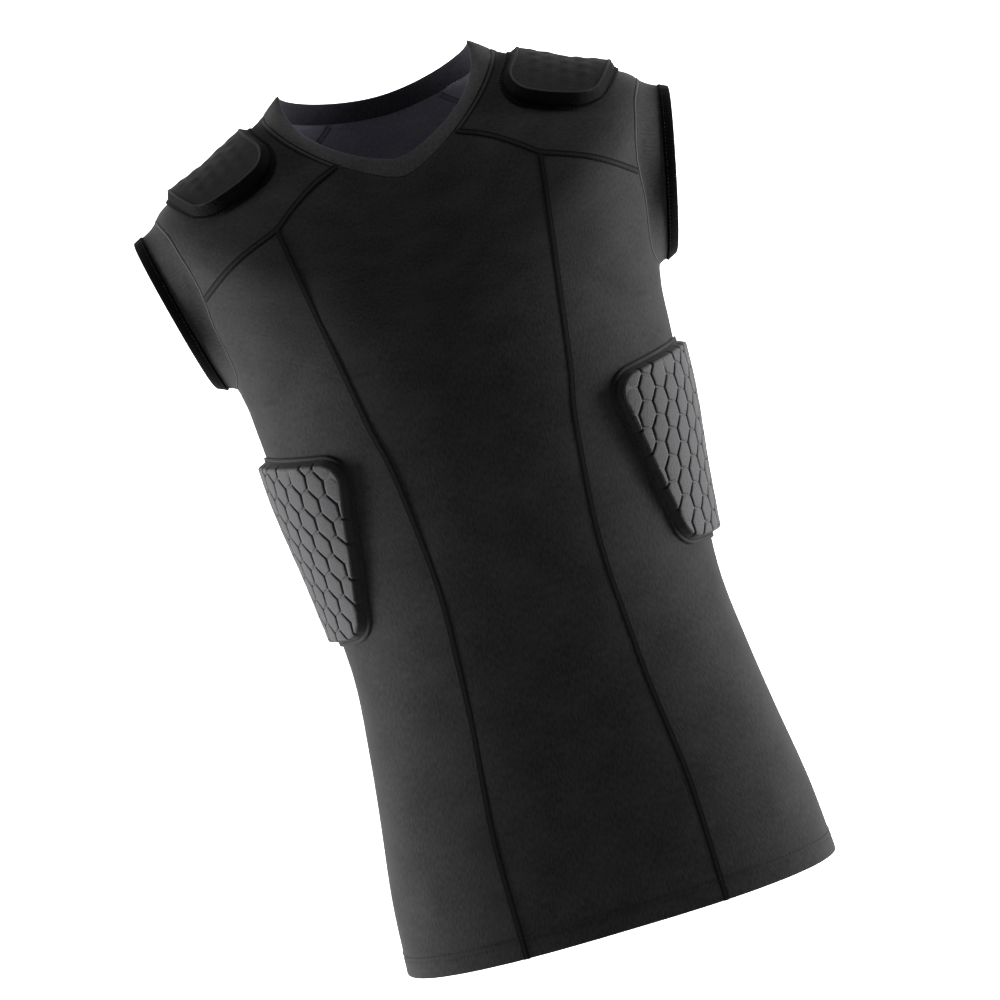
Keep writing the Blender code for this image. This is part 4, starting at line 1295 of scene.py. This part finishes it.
def divided_outline(corners, inset, step=3.5):
    """An outline with points along its straight edges too, the same number at every inset."""
    pieces = [max(1, int(gap / step)) for gap in np.diff(lengths(closed_line(outline(corners, 0))))]
    path = closed_line(outline(corners, inset))
    path = np.concatenate(
        [a + (b - a) * np.arange(count)[:, None] / count for a, b, count in zip(path, path[1:], pieces)]
    )
    # The pad's two ends bow outwards, as its corners pull in by up to 4.5 mm.
    far, near = max(c.along for c in corners), min(c.along for c in corners)
    middle, half = (far + near) / 2, (far - near) / 2
    at_ends = np.clip(np.abs(path[:, 0]) / 60 - 0.3, 0, 1)
    corner_pull = 4.5 * (np.abs(path[:, 1] - middle) / half) ** 2 * at_ends
    path[:, 0] -= np.sign(path[:, 0]) * corner_pull
    return path


def mounds(places):
    """Low rounded cells pressed into the shoulder foam, 14 mm apart, from -0.5 to 1."""
    ways = [(cos(turn), sin(turn)) for turn in (0.3, 0.3 + pi / 3, 0.3 + 2 * pi / 3)]
    return sum(np.cos(places @ np.array(way) * 2 * pi / MOUND_WAVE) for way in ways) / 3


def crown_at(ring):
    """The shoulder pad's height at places of a ring, most at its two ends."""
    return SHOULDER_CROWN + SHOULDER_END_RISE * (ring[:, 0] / SHOULDER_PAD_CORNERS[0].around) ** 2


def make_shoulder_pads():
    """Thicker foam blocks under mesh, with a pressed edge painted lighter as painted highlight, and a black
    spacer mesh wall.
    """
    face = divided_outline(SHOULDER_PAD_CORNERS, SHOULDER_FACE_INSET)
    middle = face.mean(axis=0)
    crown = crown_at(face)

    def inset_by(inset):
        return divided_outline(SHOULDER_PAD_CORNERS, inset)

    rows = [(middle + (face - middle) * share, PAD_UNDERSIDE) for share in np.linspace(0, 1, 18)]
    rows += [(inset_by(inset), height) for inset, height in FLANGE_STEPS]
    rows += [(inset_by(4.4), 1.9 + 0.3 * (crown - 1.9))]
    rows += [(inset_by(inset), crown - drop) for inset, drop in EDGE_STEPS]
    last_inset, last_drop = EDGE_STEPS[-1]
    inner = inset_by(last_inset)
    for share in np.linspace(0.94, 0, 17):
        ring = middle + (inner - middle) * share
        raised = crown_at(ring) - last_drop
        rows.append((ring, raised + MOUND_HEIGHT * mounds(ring) * min(1, 4 * (1 - share))))
    points = np.array([
        np.column_stack([ring, np.broadcast_to(height, len(ring))]) for ring, height in rows])
    points = wrapped(points)
    piece = net("shoulder_pad_left_foam", points, points[..., :2])
    closed_up(piece)
    _, _, out = nearest_on(face, face_places(piece)[:, :2])
    top = face_places(piece)[:, 2] > PAD_UNDERSIDE + 0.1
    mesh, pressed, spacer = range(3)
    # The pressed edge is painted lighter than the top, a painted highlight along the rim.
    slots = np.where(out > PRESSED_FROM, pressed, mesh)
    slots = np.where(out > SPACER_FROM, spacer, slots)
    slots = np.where(top, slots, spacer)
    for finish in (TOP_MESH, EDGE_MESH_PAINTED_HIGHLIGHT, SPACER_MESH):
        piece.data.materials.append(finish)
    paint(piece, slots)
    lay_on_figure(piece)
    modified(piece, "SUBSURF", levels=1, render_levels=1)
    shaded(piece, 70)
    for hand, side in in_pair(piece):
        finished(side, "mesh_covered_foam", stands_for=(f"shoulder_pad_{hand}",))
    line = pad_line(SHOULDER_PAD_CORNERS, SHOULDER_STITCH_INSET)
    stitches = sewn("shoulder_pad_stitches_left", *line, BLACK_THREAD, offsets=(-0.7, 0.7), thick=0.5,
                    slot="mesh_covered_foam")
    both_hands(stitches, "mesh_covered_foam")


# Studio


def lamp(name, place, target, width, height, power):
    """A white soft box that faces a target, its power in watts."""
    deselect()
    bpy.ops.object.light_add(type="AREA", location=place)
    light = bpy.context.object
    light.name = name
    light.data.shape = "RECTANGLE"
    light.data.size, light.data.size_y = width, height
    light.data.energy = power
    light.rotation_euler = (Vector(target) - Vector(place)).to_track_quat("-Z", "Y").to_euler()


def plain(name, colour, glow):
    """A matt painted board that glows evenly."""
    made = bpy.data.materials.new(name)
    made.use_nodes = True
    shader = made.node_tree.nodes["Principled BSDF"]
    shader.inputs["Base Color"].default_value = linear(colour)
    shader.inputs["Roughness"].default_value = 0.9
    shader.inputs["Emission Color"].default_value = linear("#ffffff")
    shader.inputs["Emission Strength"].default_value = glow
    return made


def make_studio():
    deselect()
    bpy.ops.mesh.primitive_circle_add(vertices=128, radius=1.7, fill_type="NGON", location=(0, 0, -1.45))
    floor = named("floor")
    floor.data.materials.append(plain("matt_white_floor", "#f4f4f2", 0.28))
    deselect()
    bpy.ops.mesh.primitive_plane_add(size=7.0, location=(0, 3.2, 1.5), rotation=(pi / 2, 0, 0))
    backdrop = named("backdrop")
    backdrop.data.materials.append(plain("glowing_white_backdrop", "#f4f4f2", 1.0))
    for stage in (floor, backdrop):
        take(stage)
        bpy.ops.object.transform_apply(location=True, rotation=True)
    world = bpy.data.worlds.new("pale_studio")
    bpy.context.scene.world = world
    world.use_nodes = True
    # The room shows white all round, and only dimly lights the shirt beside the lamps.
    tree = world.node_tree
    room = tree.nodes["Background"]
    room.inputs["Color"].default_value = linear("#f2f2f2")
    room.inputs["Strength"].default_value = 0.05
    seen = add_node(tree, "ShaderNodeBackground", {"Color": linear("#ffffff"), "Strength": 1.0})
    ray = add_node(tree, "ShaderNodeLightPath")
    mix = add_node(tree, "ShaderNodeMixShader", {
        0: ray.outputs["Is Camera Ray"], 1: room.outputs["Background"], 2: seen.outputs["Background"]})
    tree.links.new(mix.outputs["Shader"], tree.nodes["World Output"].inputs["Surface"])
    middle = (0, 0, -0.33)
    for name, side in (("left_strip", 2.3), ("right_strip", -2.3)):
        lamp(name, (side, 0.05, -0.46), middle, 0.45, 1.9, 205)
    lamp("top_box", (0, -0.6, 2.0), middle, 1.6, 1.0, 29)
    lamp("front_fill", (0, -3.4, 0.8), middle, 2.4, 1.6, 3)
    bpy.context.scene.view_settings.view_transform = "Standard"


make_camera()
make_panels()
CUFF, CUFF_AXIS = make_sleeves()
make_neckband()
make_seams(CUFF, CUFF_AXIS)
make_rib_pads()
make_shoulder_pads()
make_studio()
